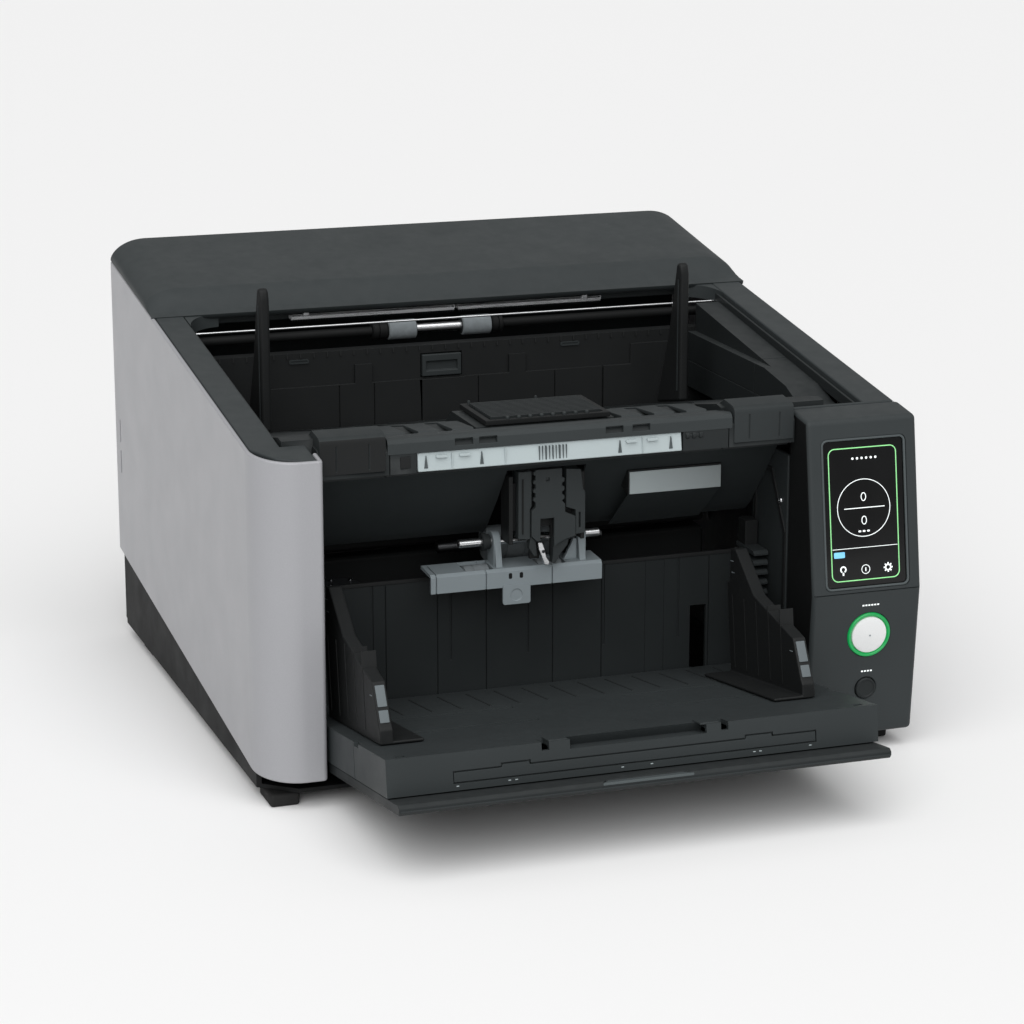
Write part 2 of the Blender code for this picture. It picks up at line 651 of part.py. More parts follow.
def build_eject():
    spin = (0, EJECT_Y, EJECT_HEIGHT)
    left, right = WELL_LEFT + 2 * WALL, WELL_RIGHT - 2 * WALL
    shaft = cylinder("eject_shaft", (left, *spin[1:]), (right, *spin[1:]), EJECT_SHAFT_RADIUS, "steel", 16)
    drums = ((EJECT_ROLLERS[0][0] - 0.012, EJECT_ROLLERS[0][0] - GAP), (EJECT_ROLLERS[1][1] + GAP,
                                                                     EJECT_ROLLERS[1][1] + 0.009))
    join(shaft, *[cylinder(f"eject_drum_{i}", (a, *spin[1:]), (b, *spin[1:]), EJECT_RADIUS * 0.9, sides=24)
                  for i, (a, b) in enumerate(drums)])
    pivot(shaft, spin)
    for side, (a, b) in zip(("left", "right"), EJECT_ROLLERS):
        roller = cylinder(f"eject_roller_{side}", (a, *spin[1:]), (b, *spin[1:]), EJECT_RADIUS,
                          "roller_grey", 24)
        cut(roller, cylinder(f"eject_bore_{side}", (a - WALL, *spin[1:]), (b + WALL, *spin[1:]),
                             EJECT_SHAFT_RADIUS + GAP, sides=16))
        pivot(roller, spin)
    rod_y, rod_z = EJECT_Y - 0.012, EJECT_HEIGHT + ROD_RISE
    cylinder("guide_rod", (WELL_LEFT + GAP, rod_y, rod_z), (WELL_RIGHT - GAP, rod_y, rod_z), ROD_RADIUS,
             "steel", 10)


def stacker_height(y):
    """The top of the stacker's floor, from its hinge up to its crest."""
    crest = FRONT + STACKER_CREST
    share = (STACKER_HINGE[1] - y) / (STACKER_HINGE[1] - crest)
    return STACKER_HINGE_HEIGHT + share * (STACKER_CREST_HEIGHT - STACKER_HINGE_HEIGHT)


def build_stacker():
    nose_y = FRONT + STACKER_NOSE_FORWARD
    well_front = FRONT + WELL_FRONT + SLACK
    crest = FRONT + STACKER_CREST
    rear = STACKER_HINGE[1] - 0.002
    left, right = WELL_LEFT + SLACK, WELL_RIGHT - WELL_SIDE_WIDTH - SLACK
    pan = [(rear, stacker_height(rear)), (crest, STACKER_CREST_HEIGHT), (well_front,
                                                                         STACKER_CREST_HEIGHT - 0.003),
           (well_front, STACKER_NOSE_BOTTOM), (well_front + STACKER_FLOOR, STACKER_NOSE_BOTTOM),
           (well_front + STACKER_FLOOR, STACKER_CREST_HEIGHT - 0.003 - STACKER_FLOOR),
           (crest, STACKER_CREST_HEIGHT - STACKER_FLOOR), (rear, stacker_height(rear) - STACKER_FLOOR)]
    tray = prism("stacker_tray", pan, "X", left, right, "charcoal")
    nose = [(well_front + WALL, STACKER_CREST_HEIGHT - 0.003), (well_front - 0.002, STACKER_NOSE_TOP),
            (nose_y + 0.003, STACKER_NOSE_TOP - 0.001), (nose_y, STACKER_NOSE_TOP - 0.005),
            (nose_y, STACKER_NOSE_BOTTOM), (well_front + WALL, STACKER_NOSE_BOTTOM)]
    middle_left, middle_right = BAY_LEFT + SLACK, BAY_RIGHT - SLACK
    join(tray, prism("stacker_nose", nose, "X", middle_left, middle_right))
    bay = [(nose_y - WALL, STACKER_NOSE_BOTTOM + 0.004), (well_front + 2 * WALL,
                                                          STACKER_NOSE_BOTTOM + 0.004),
           (well_front + 2 * WALL, STACKER_NOSE_BOTTOM + 0.004 + EXTENSION_BAR + SLACK),
           (nose_y - WALL, STACKER_NOSE_BOTTOM + 0.004 + EXTENSION_BAR + SLACK)]
    bar_left = EXTENSION_CENTRE - EXTENSION_WIDTH / 2
    bar_right = EXTENSION_CENTRE + EXTENSION_WIDTH / 2
    cut(tray, prism("extension_bay", bay, "X", bar_left - SLACK, bar_right + SLACK))
    for side, a, b in (("left", left, BAY_LEFT + STACKER_BLOCK), ("right", BAY_RIGHT - STACKER_BLOCK,
                                                                  right)):
        block = [(well_front, STACKER_CREST_HEIGHT - 0.006), (well_front, STACKER_NOSE_TOP + 0.004),
                 (well_front + 0.008, STACKER_NOSE_TOP + 0.005), (crest, STACKER_CREST_HEIGHT),
                 (crest, STACKER_CREST_HEIGHT - WALL)]
        join(tray, prism(f"stacker_block_{side}", block, "X", a, b))
    pivot(tray, STACKER_HINGE)

    bar_low = STACKER_NOSE_BOTTOM + 0.0045
    front = nose_y - 0.001
    profile = [(front, bar_low), (front + EXTENSION_DEPTH, bar_low), (front + EXTENSION_DEPTH,
                                                                      bar_low + EXTENSION_PLATE),
               (front + 0.010, bar_low + EXTENSION_PLATE), (front + 0.010, bar_low + EXTENSION_BAR),
               (front + 0.002, bar_low + EXTENSION_BAR)]
    extension = prism("stacker_extension", profile, "X", bar_left, bar_right, "pale_grey")
    pivot(extension, (0, front, bar_low))

    stopper_y = well_front + 0.012
    stopper_z = STACKER_CREST_HEIGHT + 0.004
    stopper = box("stacker_stopper", (BAY_CENTRE - STOPPER_WIDTH / 2, stopper_y, stopper_z),
                  (BAY_CENTRE + STOPPER_WIDTH / 2, stopper_y + STOPPER_DEPTH,
                   stopper_z + STOPPER_THICKNESS), "black")
    pitch = STOPPER_DEPTH / STOPPER_RIBS
    ribs = [box(f"stopper_rib_{i}", (BAY_CENTRE - STOPPER_WIDTH / 2 + WALL, stopper_y + pitch * (i + 0.3),
                                     stopper_z + STOPPER_THICKNESS / 2),
                (BAY_CENTRE + STOPPER_WIDTH / 2 - WALL, stopper_y + pitch * (i + 0.6),
                 stopper_z + STOPPER_THICKNESS + STOPPER_RIB)) for i in range(STOPPER_RIBS)]
    join(stopper, *ribs)
    pivot(stopper, (0, stopper_y, stopper_z))

    for side, x, out in (("left", FIN_LEFT, -1), ("right", FIN_RIGHT, 1)):
        foot_y = FIN_BASE
        base = [(0, stacker_height(0) + SLACK), (foot_y, stacker_height(foot_y) + SLACK)]
        top = stacker_height(0) + SLACK + FIN_HEIGHT
        fin = prism(f"stacker_fin_{side}", base + [(FIN_BASE * 0.5, stacker_height(0) + FIN_HEIGHT * 0.55),
                                                   (FIN_TOP, top),
                                                   (0, top)],
                    "X", min(x, x + out * FIN_THICKNESS), max(x, x + out * FIN_THICKNESS), "black")
        pivot(fin, (x, 0, stacker_height(0)))


def build_bay():
    low = BASE_FLOOR + GAP
    front = FRONT + COLUMN_DEPTH + GAP
    left_front = FRONT + COVER_RETURN + GAP
    box("bay_panel_left", (BAY_LEFT - WALL, left_front, low), (BAY_LEFT, BACK_WALL - GAP, BAY_PANEL_TOP),
        "black")
    box("bay_panel_right", (BAY_RIGHT, front, low), (BAY_RIGHT + WALL, BACK_WALL - GAP, BAY_PANEL_TOP),
        "charcoal")
    wall = box("hopper_back_wall", (BAY_LEFT + GAP, BACK_WALL, low), (BAY_RIGHT - GAP, BACK_WALL + WALL,
                                                                     BACK_WALL_HEIGHT), "charcoal")
    pitch = (BAY_RIGHT - BAY_LEFT) / (BACK_WALL_RIBS + 1)
    grooves = boxes("wall_grooves", [((BAY_LEFT + pitch * (i + 1), BACK_WALL - WALL,
                                       BACK_WALL_HEIGHT - 0.060),
                                      (BAY_LEFT + pitch * (i + 1) + 0.0015, BACK_WALL + 0.001,
                                       BACK_WALL_HEIGHT + WALL)) for i in range(BACK_WALL_RIBS)])
    slots = boxes("carriage_slots", [((x - CARRIAGE_WIDTH / 2 - SLOT_CLEARANCE, BACK_WALL - WALL,
                                       low - WALL),
                                      (x + CARRIAGE_WIDTH / 2 + SLOT_CLEARANCE, BACK_WALL + 2 * WALL,
                                       CARRIAGE_RISE + CARRIAGE_HEIGHT + HOPPER_LIFT + SLOT_CLEARANCE))
                                     for x in carriage_places()])
    cut(wall, grooves, slots)

    front_y = FRONT + 0.045
    middle = FRONT + 0.068
    foot = FRONT + 0.088
    throat = [(front_y, THROAT_FRONT_HEIGHT), (middle, 0.180), (foot, 0.158), (foot + 0.010, 0.150),
              (foot + 0.030, 0.147), (foot + 0.030, 0.150), (foot + 0.012, 0.153), (foot + 0.003, 0.160),
              (middle + 0.003, 0.182), (front_y + 0.003, THROAT_FRONT_HEIGHT)]
    cover = prism("throat_cover", throat, "X", BAY_LEFT + GAP, BAY_RIGHT - GAP, "black")
    cut(cover, box("bracket_notch", (PICK_CENTRE - BRACKET_WIDTH / 2 - SLACK, front_y - WALL, 0.10),
                   (PICK_CENTRE + BRACKET_WIDTH / 2 + SLACK, foot + 0.060, BAY_PANEL_TOP + GAP)))
    up = Vector((middle - front_y, 0.180 - THROAT_FRONT_HEIGHT)).normalized()
    out = Vector((up.y, -up.x)) * 0.0016
    gap = Vector((up.y, -up.x)) * GAP
    top = Vector((front_y, THROAT_FRONT_HEIGHT)) + up * 0.012
    bottom = top + up * 0.022
    outline = [tuple(top + gap), tuple(bottom + gap), tuple(bottom + out), tuple(top + out)]
    prism("blank_plate", outline, "X", 0.048, 0.117, "pale_grey")


def build_pick():
    shaft_y, shaft_z = PICK_SHAFT[1:]
    start = PICK_CENTRE + PICK_SHAFT_OFFSET - PICK_SHAFT_LENGTH / 2
    pick_shaft = cylinder("pick_shaft", (start, shaft_y, shaft_z), (start + PICK_SHAFT_LENGTH, shaft_y,
                                                                    shaft_z),
                          PICK_SHAFT_RADIUS, "steel", 16)
    pivot(pick_shaft, PICK_SHAFT)
    bracket_front = FRONT + 0.052
    bracket_back = shaft_y - PICK_SHAFT_RADIUS - SLACK
    top = BAY_PANEL_TOP
    bracket = box("pick_bracket", (PICK_CENTRE - BRACKET_WEB / 2, bracket_front, BRACKET_BOTTOM),
                  (PICK_CENTRE + BRACKET_WEB / 2, bracket_front + WALL, top), "charcoal")
    web = WALL
    for i, x in enumerate((PICK_CENTRE - BRACKET_WIDTH / 2, PICK_CENTRE + BRACKET_WIDTH / 2 - web)):
        join(bracket, box(f"bracket_cheek_{i}", (x, bracket_front - 0.004, BRACKET_BOTTOM + 0.012),
                          (x + web, bracket_back, top - 0.004)))
    join(bracket, box("bracket_beam", (PICK_CENTRE - BRACKET_WIDTH / 2, bracket_front + 0.001,
                                       BRACKET_BOTTOM + 0.020),
                      (PICK_CENTRE + BRACKET_WIDTH / 2, bracket_front + WALL + 0.001, top - 0.010)))
    cut(bracket, box("bracket_slot", (PICK_CENTRE - 0.004, bracket_front - WALL, BRACKET_BOTTOM - WALL),
                     (PICK_CENTRE + 0.004, bracket_back + WALL, BRACKET_BOTTOM + 0.022)))

    left = PICK_CENTRE + PICK_PLATE_OFFSET - PICK_PLATE_WIDTH / 2
    right = left + PICK_PLATE_WIDTH
    front = FRONT + PICK_PLATE_FRONT
    skin = 0.0022
    profile = [(front, PICK_PLATE_BOTTOM), (front + skin, PICK_PLATE_BOTTOM), (front + skin,
                                                                               PICK_PLATE_TOP - skin),
               (front + PICK_PLATE_DEPTH, PICK_PLATE_TOP + 0.001 - skin), (front + PICK_PLATE_DEPTH,
                                                                           PICK_PLATE_TOP + 0.001),
               (front + 0.002, PICK_PLATE_TOP), (front, PICK_PLATE_TOP - 0.002)]
    arm = prism("pick_arm", profile, "X", left, right, "slate")
    tab_x = PICK_CENTRE + PICK_TAB_OFFSET
    join(arm, box("pick_tab", (tab_x, front + 0.0002, PICK_PLATE_BOTTOM - PICK_TAB_DROP),
                  (tab_x + PICK_TAB_WIDTH, front + skin - 0.0002, PICK_PLATE_BOTTOM + 0.004)))
    ear_low = PICK_PLATE_TOP - 0.002
    for i, x in enumerate((PICK_CENTRE - BRACKET_WIDTH / 2 - 0.006,
                           PICK_CENTRE + BRACKET_WIDTH / 2 + SLACK)):
        ear = [(shaft_y - 0.007, ear_low), (shaft_y + 0.007, ear_low)] + arc((shaft_y, shaft_z), 0.007, 0,
                                                                             180, 8)
        join(arm, prism(f"pick_ear_{i}", ear, "X", x, x + 0.005))
    cut(arm, cylinder("pick_bore", (left, shaft_y, shaft_z), (right + 0.05, shaft_y, shaft_z),
                      PICK_SHAFT_RADIUS + GAP, sides=16))
    roller_y, roller_z = front + 0.013, PICK_PLATE_BOTTOM + PICK_ROLLER_RADIUS - 0.003
    places = [PICK_CENTRE + PICK_PLATE_OFFSET + s * PICK_ROLLER_SPREAD - PICK_ROLLER_WIDTH / 2 for s in (-1,
                                                                                                         1)]
    for i, x in enumerate(places):
        cut(arm, box(f"roller_window_{i}", (x - SLACK, front + skin + 0.0003, PICK_PLATE_TOP - WALL),
                     (x + PICK_ROLLER_WIDTH + SLACK, front + PICK_PLATE_DEPTH - 0.0015,
                      PICK_PLATE_TOP + WALL)))
    pivot(arm, PICK_SHAFT)
    spin = (0, roller_y, roller_z)
    roller = cylinder("pick_roller", (places[0], *spin[1:]), (places[1] + PICK_ROLLER_WIDTH, *spin[1:]),
                      0.0025,
                      "roller_grey", 12)
    join(roller, *[cylinder(f"pick_tyre_{i}", (x, *spin[1:]), (x + PICK_ROLLER_WIDTH, *spin[1:]),
                            PICK_ROLLER_RADIUS, sides=24) for i, x in enumerate(places)])
    pivot(roller, spin)


def shaft_roller(name, axis_y, axis_z, radius, tyre, ends, finish):
    """A roller on its own shaft that runs between the side frames."""
    roller = cylinder(name, (ends[0], axis_y, axis_z), (ends[1], axis_y, axis_z), SHAFT_RADIUS, finish, 16)
    join(roller, cylinder(name + "_tyre", (tyre[0], axis_y, axis_z), (tyre[1], axis_y, axis_z), radius,
                          sides=28))
    return pivot(roller, (0, axis_y, axis_z))


def belt_outline(first, first_radius, second, second_radius, steps=12):
    """The outline of a belt round two pulleys, as two arcs joined by the straight runs that touch both."""
    first, second = Vector(first), Vector(second)
    line = second - first
    heading = atan2(line.y, line.x)
    cos_angle = (first_radius - second_radius) / line.length
    lean = pi / 2 - atan2(cos_angle, (1 - cos_angle ** 2) ** 0.5)
    to_degrees = 180 / pi
    far = arc(second, second_radius, (heading - lean) * to_degrees, (heading + lean) * to_degrees, steps)
    near = arc(first, first_radius, (heading + lean) * to_degrees, (heading - lean + tau) * to_degrees,
               steps)
    return far + near


def build_drive():
    turn = (REAR - (BODY_DEPTH - TURN_INSET), TURN_HEIGHT)
    motor = (REAR - (BODY_DEPTH - MOTOR_INSET), MOTOR_HEIGHT)
    left_inside, right_inside = FRAME_LEFT + GAP, FRAME_RIGHT - GAP
    pulley_right = FRAME_LEFT - FRAME_THICKNESS - 2 * SLACK
    pulley_left = pulley_right - PULLEY_WIDTH
    for side, x in (("left", FRAME_LEFT - FRAME_THICKNESS), ("right", FRAME_RIGHT)):
        outline = [(BACK_WALL + 0.008, BASE_FLOOR + GAP), (REAR - 0.020, BASE_FLOOR + GAP), (REAR - 0.020,
                                                                                             FRAME_TOP),
                   (BACK_WALL + 0.008, FRAME_TOP)]
        frame = prism(f"frame_{side}", outline, "X", x, x + FRAME_THICKNESS, "steel")
        holes = [turn, motor] if side == "left" else [(turn[0] - 0.090, turn[1] - 0.020)]
        for i, (y, z) in enumerate(holes):
            cut(frame, cylinder(f"frame_{side}_hole_{i}", (x - WALL, y, z), (x + 2 * WALL, y, z),
                                SHAFT_RADIUS + SLACK, sides=16))
    tyre = (BAY_LEFT + 0.025, BAY_RIGHT - 0.025)
    roller = shaft_roller("turn_roller", *turn, TURN_RADIUS, tyre, (pulley_left, right_inside), "rubber")
    join(roller, cylinder("turn_pulley", (pulley_left, *turn), (pulley_right, *turn), TURN_PULLEY_RADIUS,
                          sides=24))
    feed_y = FRONT + FEED_INSET
    narrow = (PICK_CENTRE - 0.026, PICK_CENTRE + 0.026)
    shaft_roller("feed_roller", feed_y, PAPER_HEIGHT + GAP + FEED_RADIUS, FEED_RADIUS, narrow,
                 (PICK_CENTRE - 0.060, PICK_CENTRE + 0.060), "roller_grey")
    shaft_roller("separator_roller", feed_y, PAPER_HEIGHT - GAP - SEPARATOR_RADIUS, SEPARATOR_RADIUS,
                 narrow,
                 (PICK_CENTRE - 0.045, PICK_CENTRE + 0.045), "roller_grey")
    cylinder("drive_motor", (left_inside, *motor), (left_inside + MOTOR_LENGTH, *motor), MOTOR_RADIUS,
             "black", 28)
    pulley = cylinder("motor_pulley", (pulley_left, *motor), (pulley_right, *motor), MOTOR_PULLEY_RADIUS,
                      "steel", 20)
    join(pulley, cylinder("motor_shaft", (pulley_right - WALL, *motor), (left_inside - GAP, *motor),
                          SHAFT_RADIUS * 0.75, sides=12))
    pivot(pulley, (0, *motor))
    inner = belt_outline(turn, TURN_PULLEY_RADIUS + GAP, motor, MOTOR_PULLEY_RADIUS + GAP)
    outer = belt_outline(turn, TURN_PULLEY_RADIUS + GAP + BELT_THICKNESS, motor,
                         MOTOR_PULLEY_RADIUS + GAP + BELT_THICKNESS)
    prism("drive_belt", outer, "X", pulley_left + SLACK / 2, pulley_right - SLACK / 2, "rubber", hole=inner)
    sensor_y = FRONT + SENSOR_INSET
    for side, low in (("upper", PAPER_HEIGHT + 0.002), ("lower", PAPER_HEIGHT - 0.002 - SENSOR_HEIGHT)):
        sensor = box(f"image_sensor_{side}", (BAY_LEFT + 0.010, sensor_y, low),
                     (BAY_RIGHT - 0.010, sensor_y + SENSOR_DEPTH, low + SENSOR_HEIGHT), "black")
        round_edges(sensor, 0.002, 1)


def carriage_places():
    return (BAY_LEFT + SCREW_FROM_LEFT, BAY_RIGHT - SCREW_FROM_LEFT)


def build_hopper():
    left, right = BAY_LEFT + HOPPER_SIDE_GAP, BAY_RIGHT - HOPPER_SIDE_GAP
    tray = prism("hopper_tray", hopper_outline((0, -HOPPER_SKIRT), (HOPPER_LENGTH, -HOPPER_SKIRT),
                                               (HOPPER_LENGTH, 0),
                                               (0, 0)), "X", left, right, "charcoal")
    inside = hopper_outline((WALL, -HOPPER_SKIRT - WALL), (HOPPER_LENGTH - WALL, -HOPPER_SKIRT - WALL),
                            (HOPPER_LENGTH - WALL, -WALL), (WALL, -WALL))
    cut(tray, prism("tray_hollow", inside, "X", left + WALL, right - WALL))
    dip = hopper_outline((HOPPER_LENGTH - WALL - 0.010, -HOPPER_DIP_DEPTH), (HOPPER_LENGTH + WALL,
                                                                             -HOPPER_DIP_DEPTH),
                         (HOPPER_LENGTH + WALL, WALL), (HOPPER_LENGTH - WALL - 0.004, WALL))
    cut(tray, prism("tray_dip", dip, "X", left + HOPPER_DIP[0], left + HOPPER_DIP[0] + HOPPER_DIP[1]))
    dip_floor = hopper_outline((HOPPER_LENGTH - WALL - 0.014, -HOPPER_DIP_DEPTH - WALL),
                               (HOPPER_LENGTH - 0.0005, -HOPPER_DIP_DEPTH - WALL), (HOPPER_LENGTH - 0.0005,
                                                                                    -HOPPER_DIP_DEPTH),
                               (HOPPER_LENGTH - WALL - 0.010, -HOPPER_DIP_DEPTH),
                               (HOPPER_LENGTH - WALL - 0.0065, -0.001),
                               (HOPPER_LENGTH - WALL - 0.014, -0.001))
    join(tray, prism("tray_dip_floor", dip_floor, "X", left + HOPPER_DIP[0] - 0.001,
                     left + HOPPER_DIP[0] + HOPPER_DIP[1] + 0.001))
    tray_rear = hopper(0, -HOPPER_SKIRT)[0]
    screw_y = BACK_WALL + WALL + SCREW_RADIUS + 0.006
    low = CARRIAGE_RISE
    for i, x in enumerate(carriage_places()):
        join(tray, box(f"carriage_arm_{i}", (x - CARRIAGE_WIDTH / 2, tray_rear - 0.002, low),
                       (x + CARRIAGE_WIDTH / 2, screw_y + SCREW_RADIUS + 0.004, low + CARRIAGE_HEIGHT)))
    nut_x = carriage_places()[0]
    nut = 2 * SCREW_RADIUS
    join(tray, box("lift_nut", (nut_x - nut, screw_y - nut, low + 0.001), (nut_x + nut, screw_y + nut, low +
                                                                           CARRIAGE_HEIGHT - 0.001)))
    cut(tray, cylinder("nut_bore", (nut_x, screw_y, low - WALL), (nut_x, screw_y,
                                                                  low + CARRIAGE_HEIGHT + WALL),
                       SCREW_RADIUS + GAP, sides=16))

    screw_top = CARRIAGE_RISE + CARRIAGE_HEIGHT + HOPPER_LIFT + 0.006
    screw = cylinder("lift_screw", (nut_x, screw_y, BASE_FLOOR + GAP), (nut_x, screw_y, screw_top),
                     SCREW_RADIUS,
                     "steel", 16)
    pivot(screw, (nut_x, screw_y, 0))
    motor_low = screw_top + GAP
    motor_z = BACK_WALL_HEIGHT + WALL - motor_low
    cylinder("lift_motor", (nut_x, screw_y + 0.006, motor_low),
             (nut_x, screw_y + 0.006, motor_low + min(motor_z, LIFT_MOTOR_HEIGHT)), LIFT_MOTOR_RADIUS,
             "black", 24)

    top, low, front, edge = EXTENSION_TOP, EXTENSION_LOW, TRAY_EXTENSION_FRONT, EXTENSION_EDGE
    outline = hopper_outline((TRAY_EXTENSION_REAR, low), (front - edge, low), (front, low + edge),
                             (front, top - edge),
                             (front - edge, top), (TRAY_EXTENSION_REAR, top))
    plate = prism("hopper_extension", outline, "X", left + SLACK, right - SLACK, "charcoal")
    pivot(plate, (0, *hopper(front, low)))

    rear, end = GUIDE_REAR, GUIDE_REAR + GUIDE_LENGTH
    top = GUIDE_TOP
    lift = 0.0006
    outline = hopper_outline((rear, lift), (end, lift), (end, 0.010), (end - 0.002, top * 0.20),
                             (end - 0.012, top * 0.60),
                             (end - 0.075, top * 0.93), (end - 0.103, top + GUIDE_EXTENSION),
                             (end - 0.111, top + GUIDE_EXTENSION), (end - 0.116, top), (rear, top))
    foot = hopper_outline((rear, lift), (end, lift), (end, lift + GUIDE_FOOT_THICKNESS),
                          (rear, lift + GUIDE_FOOT_THICKNESS))
    for side, x, out in (("left", GUIDE_LEFT, -1), ("right", GUIDE_RIGHT, 1)):
        wall_x = sorted((x, x + out * GUIDE_THICKNESS))
        foot_x = sorted((x + out * WALL, x - out * GUIDE_FOOT))
        guide = prism(f"hopper_guide_{side}", outline, "X", *wall_x, "black")
        join(guide, prism(f"guide_foot_{side}", foot, "X", *foot_x))
        pivot(guide, (x, *hopper(rear, 0)))


def build_rear():
    low, high = BASE_FLOOR + GAP, RIM_REAR_HEIGHT - RIM_THICKNESS - SLACK
    side = WALL + GAP
    cover = box("rear_cover", (LEFT + side, REAR - WALL, low), (RIGHT - side, REAR, high), "charcoal")
    centre_x, centre_z = VENT_CENTRE
    length, width = VENT_SLOT
    slots = boxes("vent_slots", [((centre_x - length / 2, REAR - 2 * WALL,
                                   centre_z + VENT_PITCH * (i - VENT_SLOTS / 2)),
                                  (centre_x + length / 2, REAR + WALL,
                                   centre_z + VENT_PITCH * (i - VENT_SLOTS / 2) +
                                   width)) for i in range(VENT_SLOTS)])
    port_left = PORT_PANEL_CENTRE - PORT_PANEL_WIDTH / 2
    port_right = port_left + PORT_PANEL_WIDTH
    opening = box("port_opening", (port_left, REAR - 2 * WALL, PORT_PANEL_BOTTOM),
                  (port_right, REAR + WALL, PORT_PANEL_BOTTOM + PORT_PANEL_HEIGHT))
    cut(cover, slots, opening)
    face = REAR - PORT_PANEL_DEPTH
    panel = box("port_panel", (port_left - WALL, face, PORT_PANEL_BOTTOM - WALL),
                (port_right + WALL, REAR - WALL / 2, PORT_PANEL_BOTTOM + PORT_PANEL_HEIGHT + WALL))
    cut(panel, box("port_recess", (port_left, face + 0.0015, PORT_PANEL_BOTTOM),
                   (port_right, REAR, PORT_PANEL_BOTTOM + PORT_PANEL_HEIGHT)))
    join(cover, panel)
    middle = PORT_PANEL_BOTTOM + PORT_PANEL_HEIGHT / 2
    for name, x, size, finish in (("power_inlet", port_left + 0.026, (0.028, 0.022), "black"),
                                  ("usb_port", port_left + 0.070, (0.013, 0.012), "steel"),
                                  ("network_port", port_left + 0.100, (0.016, 0.014), "steel")):
        start = face + 0.0015 + GAP
        port = box(name, (x - size[0] / 2, start, middle - size[1] / 2), (x + size[0] / 2, start + 0.008,
                                                                        middle + size[1] / 2), finish)
        cut(port, box(name + "_mouth", (x - size[0] / 2 + 0.0015, start + 0.0015,
                                        middle - size[1] / 2 + 0.0015),
                      (x + size[0] / 2 - 0.0015, start + 0.012, middle + size[1] / 2 - 0.0015)))

    fan_back = REAR - WALL - SLACK
    centre = Vector((VENT_CENTRE[0], fan_back - FAN_DEPTH / 2, VENT_CENTRE[1] - VENT_PITCH / 2 + width / 2))
    half = FAN_SIZE / 2
    frame = box("fan_frame", centre - Vector((half, FAN_DEPTH / 2, half)),
                centre + Vector((half, FAN_DEPTH / 2, half)),
                "black")
    cut(frame, cylinder("fan_duct", centre - Vector((0, FAN_DEPTH, 0)), centre + Vector((0, FAN_DEPTH, 0)),
                        FAN_RADIUS + SLACK, sides=32))
    hub = cylinder("fan_rotor", centre - Vector((0, FAN_DEPTH * 0.4, 0)),
                   centre + Vector((0, FAN_DEPTH * 0.4, 0)),
                   FAN_RADIUS * 0.4, "black", 20)
    for i in range(7):
        blade = box(f"fan_blade_{i}", (FAN_RADIUS * 0.3, -0.0008, -FAN_DEPTH * 0.36), (FAN_RADIUS, 0.0008,
                                                                                       FAN_DEPTH * 0.36))
        blade.data.transform(Matrix.Rotation(0.7, 4, "X"))
        blade.data.transform(Matrix.Translation(centre) @ Matrix.Rotation(tau * i / 7, 4, "Y") @
                             Matrix.Rotation(pi / 2, 4, "X"))
        join(hub, blade)
    pivot(hub, centre)
    board_y = fan_back - FAN_DEPTH - 0.004
    box("main_board", (PORT_PANEL_CENTRE - 0.060, face - 0.004 - BOARD_THICKNESS,
                       PORT_PANEL_BOTTOM - 0.045),
        (PORT_PANEL_CENTRE + 0.120, face - 0.004, FRAME_TOP - 0.010), "board_green")
    box("power_supply", (0.030, board_y - 0.080, BASE_FLOOR + GAP), (FRAME_RIGHT - 0.010, board_y,
                                                                     BASE_FLOOR + 0.045),
        "steel")


build_base()
build_side_covers()
build_operator_housing()
build_rim()
build_hood()
build_well()
build_eject()
build_stacker()
build_bay()
build_pick()
build_drive()
build_hopper()
build_rear()
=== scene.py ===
"""Finished looks of a sheet fed document scanner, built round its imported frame.

Metres, +Z up, -Y is the front and +X is the operator's right. Every piece is placed from the frame's boxes.
"""

import json
from math import cos, pi, radians, sin, sqrt, tau

import bmesh
import bpy
from bpy.props import FloatProperty, FloatVectorProperty, IntProperty, PointerProperty
from mathutils import Matrix, Vector

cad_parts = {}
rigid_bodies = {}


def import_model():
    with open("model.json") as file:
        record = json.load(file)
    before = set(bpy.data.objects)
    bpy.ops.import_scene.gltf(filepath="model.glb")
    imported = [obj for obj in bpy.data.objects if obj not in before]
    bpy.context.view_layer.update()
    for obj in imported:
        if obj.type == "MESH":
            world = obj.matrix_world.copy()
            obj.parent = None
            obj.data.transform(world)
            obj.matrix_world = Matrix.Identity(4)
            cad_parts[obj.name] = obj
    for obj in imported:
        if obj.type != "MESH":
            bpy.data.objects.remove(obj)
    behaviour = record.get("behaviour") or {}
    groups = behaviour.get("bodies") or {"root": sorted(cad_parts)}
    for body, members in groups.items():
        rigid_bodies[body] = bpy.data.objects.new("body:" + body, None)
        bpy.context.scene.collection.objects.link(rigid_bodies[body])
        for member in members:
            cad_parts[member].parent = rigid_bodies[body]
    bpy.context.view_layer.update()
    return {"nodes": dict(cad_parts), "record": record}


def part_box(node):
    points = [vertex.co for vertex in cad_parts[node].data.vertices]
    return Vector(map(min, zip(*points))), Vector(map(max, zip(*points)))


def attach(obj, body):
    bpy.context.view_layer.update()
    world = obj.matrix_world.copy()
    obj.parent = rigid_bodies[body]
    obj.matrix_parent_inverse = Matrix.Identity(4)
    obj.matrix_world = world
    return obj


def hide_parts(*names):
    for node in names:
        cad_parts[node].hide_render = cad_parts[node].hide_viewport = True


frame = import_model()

bl_info = {
    "name": "Document scanner",
    "version": (1, 0, 0),
    "blender": (4, 5, 0),
    "location": "3D View > Sidebar > Scanner",
    "description": "Builds the covers, mechanisms, panel and stage of a sheet fed document scanner",
    "category": "Add Mesh",
}


def low(node):
    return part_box(node)[0]


def high(node):
    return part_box(node)[1]


def axis_of(node):
    """Where the line along X through a node's middle runs, as (y, z)."""
    first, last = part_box(node)
    return (first.y + last.y) / 2, (first.z + last.z) / 2


